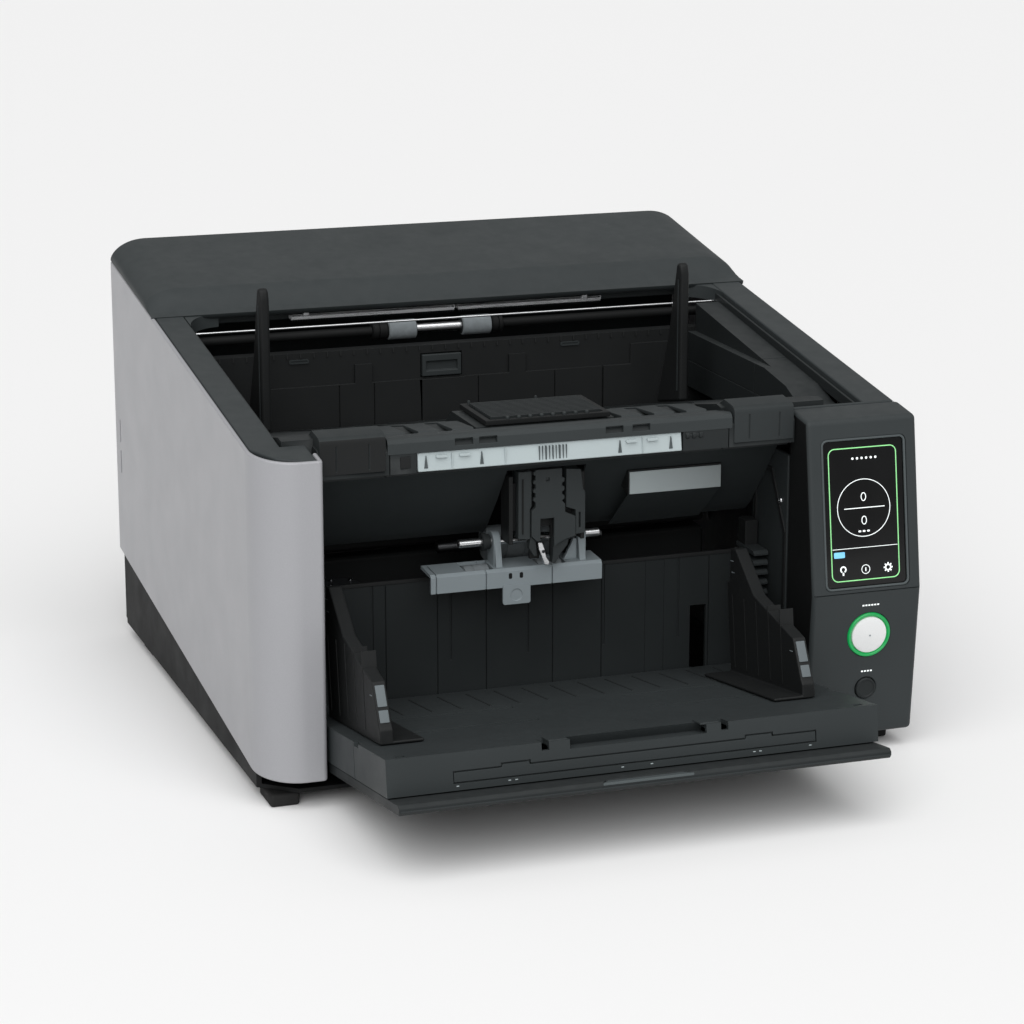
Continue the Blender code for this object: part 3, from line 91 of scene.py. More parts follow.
# Main places, read from the frame
LEFT, RIGHT = low("left_cover").x, high("right_cover").x
FRONT, REAR = low("left_cover").y, high("rear_cover").y
BAY_LEFT, BAY_RIGHT = high("left_cover").x, low("operator_housing").x
WELL_LEFT, WELL_RIGHT = low("guide_rod").x, high("well_side_right").x
WELL_WALL = high("well_side_right").y
RIM_TOP = high("left_cover").z
RIM_RISE = 0.06
SLOPE = RIM_RISE / (REAR - FRONT)
WALL = 0.003
HAIR = 0.0003
CHARCOAL, BLACK = "charcoal_plastic", "black_plastic"  # the two slots that most pieces take

# The operator housing's two faces meet at a seam that stands forward of the body
SEAM = Vector((0, FRONT - 0.017, 0.116))
FACE_TOP = Vector((0, FRONT, RIM_TOP - RIM_RISE))
FACE_FOOT = Vector((0, FRONT - 0.009, 0.012))

# The hopper's floor: u runs forwards along it, and w is square to it
HOPPER_TURN = radians(8.643)
HOPPER_REAR = Vector((0, FRONT + 0.083, 0.042))
HOPPER_LENGTH = 0.208
HOPPER_SKIRT = 0.024


def rim_height(y):
    return RIM_TOP - SLOPE * (REAR - y)


def axes(across, up, out, origin):
    """The matrix from a tilted face's own axes to the object's."""
    return Matrix.Translation(origin) @ Matrix((across, up, out)).transposed().to_4x4()


ACROSS = Vector((1, 0, 0))
FACE_UP = (FACE_TOP - SEAM).normalized()
FACE = axes(ACROSS, FACE_UP, ACROSS.cross(FACE_UP), SEAM)
LOWER_UP = (SEAM - FACE_FOOT).normalized()
LOWER = axes(ACROSS, LOWER_UP, ACROSS.cross(LOWER_UP), FACE_FOOT)
HOPPER = axes(ACROSS, Vector((0, -cos(HOPPER_TURN), sin(HOPPER_TURN))),
    Vector((0, sin(HOPPER_TURN), cos(HOPPER_TURN))), HOPPER_REAR)


# Sizes and colours that a user would change

class ScannerSizes(bpy.types.PropertyGroup):
    cover_corner: FloatProperty(name="Cover corner",
        description="Radius of the left cover's front corner", default=0.03, unit="LENGTH")
    cover_edge: FloatProperty(name="Cover edge", description="Rounding of the covers' edges",
        default=0.0013, unit="LENGTH")
    shoulder: FloatProperty(name="Hood shoulder",
        description="Width over which the hood rounds down at each side", default=0.026, unit="LENGTH")
    seam: FloatProperty(name="Seam", description="Width of a parting line", default=0.0007, unit="LENGTH")
    screw: FloatProperty(name="Screw head", description="Radius of a screw's head", default=0.0032,
        unit="LENGTH")
    brush: IntProperty(name="Brush teeth", description="Teeth on each static bar", default=64, min=2)
    vent_ribs: IntProperty(name="Vent ribs", description="Ribs behind the rear vent", default=9, min=1)


class ScannerColours(bpy.types.PropertyGroup):
    silver: FloatVectorProperty(name="Silver", description="Painted side covers", subtype="COLOR",
        size=3, default=(0.3, 0.302, 0.318))
    charcoal: FloatVectorProperty(name="Charcoal", description="Lit moulded covers", subtype="COLOR",
        size=3, default=(0.033, 0.0385, 0.04))
    black: FloatVectorProperty(name="Black", description="Inner mouldings", subtype="COLOR", size=3,
        default=(0.0125, 0.0135, 0.0138))
    slate: FloatVectorProperty(name="Slate", description="Pick plate", subtype="COLOR", size=3,
        default=(0.222, 0.256, 0.272))
    pale: FloatVectorProperty(name="Pale", description="Stacker extension and blank plate",
        subtype="COLOR", size=3, default=(0.395, 0.45, 0.46))
    ring: FloatVectorProperty(name="Ring light", description="Light round the start button",
        subtype="COLOR", size=3, default=(0.004, 0.19, 0.045))
    screen_line: FloatVectorProperty(name="Screen line", description="Frame drawn on the screen",
        subtype="COLOR", size=3, default=(0.22, 0.56, 0.23))
    screen_mark: FloatVectorProperty(name="Screen mark", description="Signs drawn on the screen",
        subtype="COLOR", size=3, default=(0.7, 0.74, 0.74))


class ScannerStage(bpy.types.PropertyGroup):
    camera: FloatVectorProperty(name="Camera", description="Place of the camera", subtype="TRANSLATION",
        size=3, default=(-0.6854, -1.9464, 0.6841))
    turn: FloatVectorProperty(name="Camera turn", description="Rotation of the camera", subtype="EULER",
        size=3, default=(radians(75.46), 0.0, radians(-19.14)))
    lens: FloatProperty(name="Lens", description="Focal length in millimetres", default=106.59)
    floor: FloatVectorProperty(name="Floor", description="Colour of the floor", subtype="COLOR",
        size=3, default=(0.88, 0.88, 0.88))
    sky: FloatProperty(name="Sky", description="Strength of the light from all round", default=0.34)
    key: FloatProperty(name="Key light", description="Strength of the broad light from above", default=2.65)
    rim: FloatProperty(name="Front light", description="Power of the low front lamp, in watts", default=6.0)


# Finishes

class Wire:
    """One output of a finish's nodes, with the sums that the finishes are written in."""

    def __init__(self, finish, socket):
        self.finish = finish
        self.socket = socket

    def maths(self, operation, first, second):
        return self.finish.node("ShaderNodeMath", {"operation": operation}, {0: first, 1: second})

    def __add__(self, other):
        return self.maths("ADD", self, other)

    __radd__ = __add__

    def __mul__(self, other):
        return self.maths("MULTIPLY", self, other)

    __rmul__ = __mul__

    def __gt__(self, other):
        return self.maths("GREATER_THAN", self, other)

    def __lt__(self, other):
        return self.maths("LESS_THAN", self, other)

    def __mod__(self, other):
        return self.maths("FLOORED_MODULO", self, other)


class Finish:
    """A material under construction: constants go on the shader's sockets, and patterns are wired in."""

    def __init__(self, name, roughness=0.5, metallic=0.0, **constants):
        self.name = name
        self.material = bpy.data.materials.new(name)
        self.material.use_nodes = True
        self.tree = self.material.node_tree
        self.shader = self.tree.nodes["Principled BSDF"]
        self.shader.inputs["Roughness"].default_value = roughness
        self.shader.inputs["Metallic"].default_value = metallic
        for socket, value in constants.items():
            self.shader.inputs[socket.replace("_", " ")].default_value = value

    def node(self, kind, settings=None, inputs=None, output=0):
        made = self.tree.nodes.new(kind)
        for key, value in (settings or {}).items():
            if key == "stops":
                ramp = made.color_ramp
                while len(ramp.elements) < len(value):
                    ramp.elements.new(0.5)
                for element, (place, colour) in zip(ramp.elements, value):
                    element.position = place
                    element.color = colour
            else:
                setattr(made, key, value)
        for key, value in (inputs or {}).items():
            if isinstance(value, Wire):
                self.tree.links.new(value.socket, made.inputs[key])
            else:
                made.inputs[key].default_value = value
        return Wire(self, made.outputs[output])

    def feed(self, socket, wire):
        self.tree.links.new(wire.socket, self.shader.inputs[socket])
        return self

    def place(self, scale=(1, 1, 1), turn=(0, 0, 0)):
        """Object coordinates, stretched or turned."""
        coords = self.node("ShaderNodeTexCoord", output="Object")
        return self.node("ShaderNodeMapping", inputs={"Vector": coords, "Scale": scale, "Rotation": turn})

    def noise(self, scale, detail=2.0, at=None):
        return self.node("ShaderNodeTexNoise", inputs={"Vector": at or self.place(), "Scale": scale,
            "Detail": detail}, output=0)

    def axis(self, name, of=None):
        return self.node("ShaderNodeSeparateXYZ", inputs={0: of or self.place()}, output=name)

    def range(self, wire, start, end, first, last):
        return self.node("ShaderNodeMapRange", inputs={"Value": wire, "From Min": start,
            "From Max": end, "To Min": first, "To Max": last})

    def blend(self, factor, first, second):
        colours = [value if isinstance(value, Wire) else (*value, 1.0) for value in (first, second)]
        return self.node("ShaderNodeMix", {"data_type": "RGBA"},
            {0: factor, 6: colours[0], 7: colours[1]}, output=2)

    def relief(self, height, distance, strength=1.0, over=None):
        inputs = {"Height": height, "Distance": distance, "Strength": strength}
        if over:
            inputs["Normal"] = over
        return self.node("ShaderNodeBump", inputs=inputs)


def shade(colour, factor):
    return tuple(channel * factor for channel in colour)


def moulded(name, colour, roughness, spark=0.00005, cells=1300.0, dust=0.1):
    """Spark-textured plastic: fine grain, a faint cloud in the colour, worn sheen and a little dust."""
    made = Finish(name, Specular_IOR_Level=0.16)
    grain = made.noise(cells, 3.0)
    cloud = made.noise(9.0, 3.0)
    rub = made.noise(38.0, 4.0)
    up = made.axis("Z", made.node("ShaderNodeNewGeometry", output="Normal"))
    settled = made.range(up, 0.55, 1.0, 0.0, dust) * made.noise(140.0, 5.0)
    body = made.blend(cloud, shade(colour, 0.86), shade(colour, 1.12))
    made.feed("Base Color", made.blend(settled, body, (0.2, 0.21, 0.21)))
    made.feed("Roughness", made.range(rub, 0.3, 0.7, roughness - 0.05, roughness + 0.07))
    return made.feed("Normal", made.relief(grain, spark, 0.6))


def painted(name, colour, roughness):
    """Satin paint with a fine metal flake and a slight orange peel."""
    made = Finish(name, Specular_IOR_Level=0.5, Coat_Roughness=0.35)
    flake = made.node("ShaderNodeTexVoronoi", inputs={"Vector": made.place(), "Scale": 2600.0},
        output="Color")
    spark = made.axis("X", flake)
    cloud = made.noise(5.0, 2.0)
    body = made.blend(cloud, shade(colour, 0.97), shade(colour, 1.03))
    made.feed("Base Color", made.blend(spark * 0.1, body, shade(colour, 1.5)))
    made.feed("Roughness", made.range(made.noise(30.0, 4.0), 0.3, 0.7, roughness - 0.03, roughness + 0.05))
    made.feed("Coat Weight", made.range(cloud, 0.3, 0.7, 0.12, 0.2))
    return made.feed("Normal", made.relief(made.noise(420.0, 2.0), 0.00004, 0.5))


def brushed(name, colour, roughness, along=(0.02, 1, 1)):
    """Metal with drawn lines along one axis."""
    made = Finish(name, metallic=1.0)
    lines = made.noise(900.0, 4.0, made.place(along))
    stain = made.noise(24.0, 3.0)
    made.feed("Base Color", made.blend(stain, shade(colour, 0.82), shade(colour, 1.1)))
    made.feed("Roughness", made.range(lines, 0.3, 0.7, roughness - 0.08, roughness + 0.12))
    return made.feed("Normal", made.relief(lines, 0.00003, 0.5))


def rubbery(name, colour, ring_pitch):
    """Matt rubber with fine ground rings along X and a mottled wear."""
    made = Finish(name, Specular_IOR_Level=0.25)
    wave = (made.axis("X") % ring_pitch) > ring_pitch * 0.5
    mottle = made.noise(260.0, 4.0)
    made.feed("Base Color", made.blend(mottle, shade(colour, 0.75), shade(colour, 1.25)))
    made.feed("Roughness", made.range(mottle, 0.3, 0.7, 0.72, 0.92))
    return made.feed("Normal", made.relief(wave * 0.5 + mottle, 0.00008, 0.6))


def glossy(name, colour, roughness):
    """A hard clear face with faint wiping marks."""
    made = Finish(name, Specular_IOR_Level=0.3, Coat_Roughness=0.03)
    wipe = made.noise(30.0, 5.0, made.place((1, 3, 0.4)))
    made.feed("Base Color", made.blend(wipe, colour, shade(colour, 1.6)))
    made.feed("Coat Weight", made.range(wipe, 0.3, 0.7, 0.08, 0.16))
    return made.feed("Roughness", made.range(wipe, 0.35, 0.75, roughness, roughness + 0.06))


def lit(name, colour, strength):
    """A light guide: its own colour, uneven by a few parts in a hundred, and some light of its own."""
    made = Finish(name, roughness=0.32, Emission_Strength=strength)
    cloud = made.noise(300.0, 2.0)
    glow = made.blend(cloud, shade(colour, 0.86), shade(colour, 1.14))
    made.feed("Base Color", glow)
    return made.feed("Emission Color", glow)


def graded(name, colour):
    """The blank plate: a painted sheen, its colour running from lighter at one end to darker at the other."""
    made = Finish(name, Specular_IOR_Level=0.5)
    plate = (low("blank_plate").x, high("blank_plate").x)
    share = made.range(made.axis("X"), *plate, 0.0, 1.0)
    made.feed("Base Color", made.blend(share, shade(colour, 1.15), shade(colour, 0.62)))
    made.feed("Roughness", made.range(made.noise(60.0), 0.3, 0.7, 0.34, 0.42))
    return made.feed("Normal", made.relief(made.noise(1500.0), 0.00003, 0.4))


def circuit(name):
    """A printed board: lacquer over tracks that run in steps, with bright pads."""
    made = Finish(name, Specular_IOR_Level=0.5)
    flat = made.place((1, 0, 1))
    tracks = made.node("ShaderNodeTexBrick", {"offset": 0.37},
        {"Vector": flat, "Scale": 95.0, "Mortar Size": 0.06, "Mortar Smooth": 0.0}, output="Fac")
    pads = made.node("ShaderNodeTexVoronoi", inputs={"Vector": flat, "Scale": 130.0},
        output="Distance") < 0.18
    lacquer = made.blend(tracks, (0.008, 0.06, 0.028), (0.02, 0.13, 0.06))
    made.feed("Base Color", made.blend(pads, lacquer, (0.55, 0.52, 0.4)))
    made.feed("Metallic", pads * 0.8)
    made.feed("Roughness", made.range(made.noise(80.0), 0.3, 0.7, 0.28, 0.4))
    return made.feed("Normal", made.relief(tracks, 0.00006, 0.5))


def make_finishes(colours):
    """Every finish of the scanner, by the plain name of what it is on."""
    silver, charcoal, black = colours.silver, colours.charcoal, colours.black
    made = [
        painted("silver_cover", silver, 0.4),
        moulded("charcoal_cover", charcoal, 0.46),
        moulded("charcoal_side", shade(charcoal, 0.8), 0.5, dust=0.05),
        moulded("hopper_plastic", shade(charcoal, 0.95), 0.42, cells=1600.0, dust=0.05),
        moulded("dark_tray", shade(charcoal, 0.55), 0.48, dust=0.12),
        moulded("black_inner", black, 0.5, dust=0.02),
        moulded("deep_black", shade(black, 0.55), 0.62, dust=0.0),
        moulded("slate_plate", colours.slate, 0.4, cells=1700.0, dust=0.0),
        moulded("pale_bar", colours.pale, 0.36, cells=1700.0, dust=0.0),
        graded("blank_sheen", shade(colours.pale, 0.66)),
        moulded("strip_plastic", shade(colours.slate, 0.55), 0.42, dust=0.0),
        # A lighter copy of the charcoal: painted highlight on the screen's edge and the extension's grip, and
        # the colour of the bar's printed marks.
        moulded("highlight_and_print_grey", shade(charcoal, 2.2), 0.42, dust=0.0),
        rubbery("foot_rubber", (0.014, 0.014, 0.014), 0.0024),
        rubbery("grey_tyre", (0.175, 0.195, 0.205), 0.0011),
        rubbery("black_tyre", (0.02, 0.021, 0.022), 0.0016),
        brushed("drawn_steel", (0.62, 0.63, 0.64), 0.26),
        brushed("plate_steel", (0.46, 0.47, 0.48), 0.38, (1, 1, 0.03)),
        brushed("dark_screw", (0.085, 0.088, 0.092), 0.34, (1, 0.1, 1)),
        painted("motor_paint", (0.022, 0.024, 0.026), 0.42),
        glossy("screen_glass", (0.002, 0.0022, 0.0024), 0.06),
        painted("button_face", (0.72, 0.73, 0.73), 0.3),
        lit("ring_light", colours.ring, 0.9),
        lit("screen_line", colours.screen_line, 0.75),
        lit("screen_mark", colours.screen_mark, 0.85),
        lit("screen_chip", (0.15, 0.42, 0.64), 0.7),
        circuit("circuit_board"),
    ]
    return {finish.name: finish.material for finish in made}


FINISHES = {}


# Mesh work

def shape(name, bm):
    mesh = bpy.data.meshes.new(name)
    bm.to_mesh(mesh)
    bm.free()
    obj = bpy.data.objects.new(name, mesh)
    bpy.context.scene.collection.objects.link(obj)
    return obj


def settle(obj):
    """Turns an object and its modifiers into a plain mesh."""
    graph = bpy.context.evaluated_depsgraph_get()
    mesh = bpy.data.meshes.new_from_object(obj.evaluated_get(graph))
    obj.modifiers.clear()
    old = obj.data
    obj.data = mesh
    bpy.data.meshes.remove(old)
    mesh.name = obj.name
    return obj


def block(name, first, last):
    """A box between two corners."""
    first, last = Vector(first), Vector(last)
    bm = bmesh.new()
    bmesh.ops.create_cube(bm, size=1.0)
    bmesh.ops.scale(bm, vec=last - first, verts=bm.verts)
    bmesh.ops.translate(bm, vec=(first + last) / 2, verts=bm.verts)
    return shape(name, bm)


def slots(places, width, first, last):
    """Cutters of one width at several places across, between two (y, z) corners."""
    return [block("slot", (x - width / 2, *first), (x + width / 2, *last)) for x in places]


def slab(name, outline, axis, start, end):
    """A flat outline with thickness: (y, z) along X, (x, z) along Y and (x, y) along Z."""
    place = {"X": lambda a, b, t: (t, a, b), "Y": lambda a, b, t: (a, t, b),
        "Z": lambda a, b, t: (a, b, t)}[axis]
    bm = bmesh.new()
    face = bm.faces.new([bm.verts.new(place(a, b, start)) for a, b in outline])
    grown = bmesh.ops.extrude_face_region(bm, geom=[face])["geom"]
    bmesh.ops.translate(bm, vec=Vector(place(0, 0, end - start)),
        verts=[item for item in grown if isinstance(item, bmesh.types.BMVert)])
    bmesh.ops.recalc_face_normals(bm, faces=bm.faces)
    return shape(name, bm)


def turned(name, start, direction, profile, sides=48):
    """A closed shape turned about a line: the profile is (distance along the line, radius)."""
    line = Vector(direction).normalized()
    first = line.orthogonal().normalized()
    second = line.cross(first)
    bm = bmesh.new()
    rings = []
    for along, radius in profile:
        centre = Vector(start) + line * along
        rings.append([bm.verts.new(centre
            + (first * cos(tau * i / sides) + second * sin(tau * i / sides)) * radius) for i in range(sides)])
    for near, far in zip(rings, rings[1:]):
        for i in range(sides):
            bm.faces.new((near[i], near[i - 1], far[i - 1], far[i]))
    bm.faces.new(rings[0])
    bm.faces.new(rings[-1][::-1])
    bmesh.ops.recalc_face_normals(bm, faces=bm.faces)
    return shape(name, bm)


def rod(name, start, end, radius, sides=24, chamfer=0.0004):
    length = (Vector(end) - Vector(start)).length
    profile = [(0, radius - chamfer), (chamfer, radius), (length - chamfer, radius),
        (length, radius - chamfer)]
    return turned(name, start, Vector(end) - Vector(start), profile, sides)


def wire(name, points, radius, sides=3, closed=False):
    """A bent wire through points, with filled ends, made a mesh."""
    curve = bpy.data.curves.new(name, "CURVE")
    curve.dimensions = "3D"
    curve.bevel_depth = radius
    curve.bevel_resolution = sides
    curve.use_fill_caps = not closed
    spline = curve.splines.new("POLY")
    spline.points.add(len(points) - 1)
    spline.use_cyclic_u = closed
    for point, place in zip(spline.points, points):
        point.co = (*place, 1)
    helper = bpy.data.objects.new(name, curve)
    bpy.context.scene.collection.objects.link(helper)
    graph = bpy.context.evaluated_depsgraph_get()
    mesh = bpy.data.meshes.new_from_object(helper.evaluated_get(graph))
    bpy.data.objects.remove(helper)
    bm = bmesh.new()
    bm.from_mesh(mesh)
    bpy.data.meshes.remove(mesh)
    bmesh.ops.remove_doubles(bm, verts=bm.verts, dist=0.000001)
    bmesh.ops.recalc_face_normals(bm, faces=bm.faces)
    return shape(name, bm)


def arc(centre, radius, start, end, steps):
    """Points along an arc, in degrees, with both ends."""
    angles = [radians(start + (end - start) * i / steps) for i in range(steps + 1)]
    return [(centre[0] + radius * cos(angle), centre[1] + radius * sin(angle)) for angle in angles]


def rounded_box(left, bottom, right, top, radius, steps=6):
    """The outline of a rectangle with round corners."""
    corners = ((right - radius, top - radius), (left + radius, top - radius),
        (left + radius, bottom + radius), (right - radius, bottom + radius))
    return [point for i, corner in enumerate(corners)
        for point in arc(corner, radius, 90 * i, 90 * i + 90, steps)]


def apply_boolean(obj, others, operation):
    for other in others:
        modifier = obj.modifiers.new(other.name, "BOOLEAN")
        modifier.operation = operation
        modifier.object = other
        modifier.solver = "EXACT"
    settle(obj)
    for other in others:
        mesh = other.data
        bpy.data.objects.remove(other)
        bpy.data.meshes.remove(mesh)
    return obj


def carve(obj, *cutters):
    return apply_boolean(obj, cutters, "DIFFERENCE")


def keep_inside(obj, other):
    return apply_boolean(obj, [other], "INTERSECT")


def gather(name, pieces):
    """Several shapes as one loose group of closed shells."""
    bm = bmesh.new()
    for piece in pieces:
        bm.from_mesh(piece.data)
        mesh = piece.data
        bpy.data.objects.remove(piece)
        bpy.data.meshes.remove(mesh)
    return shape(name, bm)


def soften(obj, width, segments=2, angle=0.5):
    """Rounds the sharp edges."""
    bm = bmesh.new()
    bm.from_mesh(obj.data)
    bmesh.ops.remove_doubles(bm, verts=bm.verts, dist=0.00002)
    bmesh.ops.dissolve_limit(bm, angle_limit=0.002, verts=bm.verts, edges=bm.edges)
    bm.to_mesh(obj.data)
    bm.free()
    modifier = obj.modifiers.new("rounded", "BEVEL")
    modifier.width = width
    modifier.segments = segments
    modifier.limit_method = "ANGLE"
    modifier.angle_limit = angle
    return settle(obj)


def copy_of(node, name):
    """A merged copy of a frame node, ready to be worked on."""
    bm = bmesh.new()
    bm.from_mesh(frame["nodes"][node].data)
    bmesh.ops.remove_doubles(bm, verts=bm.verts, dist=0.00002)
    bmesh.ops.dissolve_limit(bm, angle_limit=0.002, verts=bm.verts, edges=bm.edges)
    obj = shape(name, bm)
    obj.data.materials.clear()
    return obj


def moved(obj, matrix):
    """Applies a place to the mesh, and keeps its faces pointing out."""
    obj.data.transform(matrix)
    if matrix.determinant() < 0:
        obj.data.flip_normals()
    return obj


def fit(obj, body, slot, finish, *nodes, sharp=0.6):
    """Gives a finished piece its look and body, and hides the frame nodes that it stands for. The slot
    argument is not used.
    """
    if finish:
        obj.data.materials.clear()
        obj.data.materials.append(FINISHES[finish])
    obj.data.shade_smooth()
    obj.data.set_sharp_from_angle(angle=sharp)
    modifier = obj.modifiers.new("flat_faces", "WEIGHTED_NORMAL")
    modifier.keep_sharp = True
    settle(obj)
    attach(obj, body)
    if nodes:
        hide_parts(*nodes)
    return obj


def fixed(obj, slot, finish, *nodes):
    """Finishes a piece that doesn't move."""
    return fit(obj, "chassis", slot, finish, *nodes)


def paint_faces(obj, finish, test):
    """Gives the faces that pass the test, on their middle and normal, a second finish."""
    obj.data.materials.append(FINISHES[finish])
    index = len(obj.data.materials) - 1
    for face in obj.data.polygons:
        if test(face.center, face.normal):
            face.material_index = index


# Repeats, as geometry nodes

def new_tree(name, inputs):
    tree = bpy.data.node_groups.new(name, "GeometryNodeTree")
    tree.is_modifier = True
    tree.interface.new_socket("Item", in_out="INPUT", socket_type="NodeSocketGeometry")
    for label, kind in inputs:
        tree.interface.new_socket(label, in_out="INPUT", socket_type="NodeSocket" + kind)
    tree.interface.new_socket("Pieces", in_out="OUTPUT", socket_type="NodeSocketGeometry")
    return tree


def finish_tree(tree, source, instances):
    realize = tree.nodes.new("GeometryNodeRealizeInstances")
    paint = tree.nodes.new("GeometryNodeSetMaterial")
    out = tree.nodes.new("NodeGroupOutput")
    tree.links.new(instances, realize.inputs[0])
    tree.links.new(realize.outputs[0], paint.inputs["Geometry"])
    tree.links.new(source.outputs["Finish"], paint.inputs["Material"])
    tree.links.new(paint.outputs[0], out.inputs[0])
    return tree


def row_tree():
    """Copies of an item in a straight row."""
    tree = new_tree("row_of_items", [("Count", "Int"), ("Step", "Vector"), ("Finish", "Material")])
    source = tree.nodes.new("NodeGroupInput")
    line = tree.nodes.new("GeometryNodeMeshLine")
    place = tree.nodes.new("GeometryNodeInstanceOnPoints")
    tree.links.new(source.outputs["Count"], line.inputs["Count"])
    tree.links.new(source.outputs["Step"], line.inputs["Offset"])
    tree.links.new(line.outputs[0], place.inputs["Points"])
    tree.links.new(source.outputs["Item"], place.inputs["Instance"])
    return finish_tree(tree, source, place.outputs[0])


def ring_tree():
    """Copies of an item turned about an axis through the origin, then carried to a centre."""
    tree = new_tree("ring_of_items", [("Count", "Int"), ("Turn", "Vector"), ("Centre", "Vector"),
        ("Finish", "Material")])
    source = tree.nodes.new("NodeGroupInput")
    points = tree.nodes.new("GeometryNodePoints")
    place = tree.nodes.new("GeometryNodeInstanceOnPoints")
    index = tree.nodes.new("GeometryNodeInputIndex")
    turn = tree.nodes.new("ShaderNodeVectorMath")
    turn.operation = "SCALE"
    tree.links.new(source.outputs["Count"], points.inputs["Count"])
    tree.links.new(source.outputs["Centre"], points.inputs["Position"])
    tree.links.new(source.outputs["Turn"], turn.inputs[0])
    tree.links.new(index.outputs[0], turn.inputs["Scale"])
    tree.links.new(points.outputs[0], place.inputs["Points"])
    tree.links.new(source.outputs["Item"], place.inputs["Instance"])
    tree.links.new(turn.outputs[0], place.inputs["Rotation"])
    return finish_tree(tree, source, place.outputs[0])


TREES = {}


def repeat(obj, kind, finish, **inputs):
    """Runs one of the trees on an item, and leaves a plain mesh."""
    modifier = obj.modifiers.new(kind, "NODES")
    modifier.node_group = TREES[kind]
    sockets = {item.name: item.identifier for item in modifier.node_group.interface.items_tree
        if item.in_out == "INPUT"}
    for label, value in dict(inputs, Finish=FINISHES[finish]).items():
        modifier[sockets[label]] = value
    return settle(obj)


def row(obj, finish, count, step):
    return repeat(obj, "row", finish, Count=count, Step=tuple(float(value) for value in step))


def ring(obj, finish, count, turn, centre):
    return repeat(obj, "ring", finish, Count=count, Turn=tuple(float(value) for value in turn),
        Centre=tuple(float(value) for value in centre))


def screw(name, centre, out, radius):
    """A pan-head screw with a cross recess, its head standing out along a direction."""
    out = Vector(out).normalized()
    seat = Vector(centre) - out * 0.0006
    head = turned(name, seat, out, [(0, radius), (0.001, radius), (0.0016, radius * 0.88),
        (0.002, radius * 0.6)], 20)
    turn = Vector((0, 0, 1)).rotation_difference(out).to_matrix().to_4x4()
    arm, bar = radius * 0.52, radius * 0.13
    cutters = []
    for wide, deep in ((arm, bar), (bar, arm)):
        cutter = block("recess", (-wide, -deep, 0.0011), (wide, deep, 0.004))
        cutters.append(moved(cutter, Matrix.Translation(seat) @ turn))
    return carve(head, *cutters)


# Covers

LATCH_DEPTH = 0.0012


def cut_latches(cover, sizes, start, end):
    """Rounds a side cover, and cuts the two latch slots near its rear edge."""
    latch = slab("latch", rounded_box(REAR - 0.019, 0.132, REAR - 0.0155, 0.15, 0.0015), "X", start, end)
    carve(soften(cover, sizes.cover_edge, 3, 0.7), row(latch, "silver_cover", 2, (0, 0, 0.024)))


def left_cover(sizes):
    """A wall that turns round the front corner and back into the bay, with a sloping top and bottom."""
    radius, edge = sizes.cover_corner, 0.003
    centre = (LEFT + radius, FRONT + radius)
    lip = (BAY_LEFT - edge, FRONT + edge)
    back = FRONT + 0.016
    outside = [(LEFT, REAR)] + arc(centre, radius, 180, 270, 20) + arc(lip, edge, 270, 360, 5)
    turn = [(BAY_LEFT, back), (BAY_LEFT - WALL, back), (BAY_LEFT - WALL, FRONT + WALL)]
    inside = arc(centre, radius - WALL, 270, 180, 20) + [(LEFT + WALL, REAR)]
    cover = slab("left_cover_shell", outside + turn + inside, "Z", 0.0, RIM_TOP + 0.05)
    foot_front, foot_rear = low("left_cover").z, 0.069
    side = [(FRONT - WALL, foot_front), (REAR + WALL, foot_rear), (REAR + WALL, rim_height(REAR + WALL)),
        (FRONT - WALL, rim_height(FRONT - WALL))]
    keep_inside(cover, slab("side_view", side, "X", LEFT - WALL, BAY_LEFT + WALL))
    cut_latches(cover, sizes, LEFT - WALL, LEFT + LATCH_DEPTH)
    fixed(cover, "silver_cover", "silver_cover", "left_cover")


def right_cover(sizes):
    """A plain sloping wall, its top edge hidden below the rim's."""
    front, lowered = low("right_cover").y, 0.0024
    side = [(front, low("right_cover").z), (REAR, 0.069), (REAR, RIM_TOP - lowered),
        (front, rim_height(front) - lowered)]
    cover = slab("right_cover_shell", side, "X", RIGHT - WALL, RIGHT)
    cut_latches(cover, sizes, RIGHT - LATCH_DEPTH, RIGHT + WALL)
    fixed(cover, "silver_cover", "silver_cover", "right_cover")


def top_rim(sizes):
    """The frame round the well, with a fine step along its inner edge."""
    rim = soften(copy_of("top_rim", "rim_frame"), 0.0022, 3)
    fixed(rim, CHARCOAL, "charcoal_cover", "top_rim")
    for side, x, out in (("left", WELL_LEFT, 1), ("right", WELL_RIGHT, -1)):
        start, end = FRONT + 0.031, low("hood").y
        outline = [(start, rim_height(start) - 0.0115), (end, rim_height(end) - 0.0115),
            (end, rim_height(end) - 0.0035), (start, rim_height(start) - 0.0035)]
        step = slab(f"rim_step_{side}", outline, "X", min(x, x + out * 0.0022), max(x, x + out * 0.0022))
        fixed(soften(step, 0.0008), CHARCOAL, "dark_tray")


def rim_corners(sizes):
    """The filled corners where the rim meets the hood's lip."""
    radius, back = 0.026, low("hood").y + 0.004
    for side, x, out in (("left", WELL_LEFT, 1), ("right", WELL_RIGHT, -1)):
        bend = arc((x + out * radius, back - radius), radius, 90, 180 if out > 0 else 0, 8)
        corner = slab(f"rim_corner_{side}", [(x, back)] + bend, "Z", -0.01, 0.0)
        for vertex in corner.data.vertices:
            vertex.co.z += rim_height(vertex.co.y) - 0.0004
        fixed(soften(corner, 0.0012), CHARCOAL, "charcoal_cover")


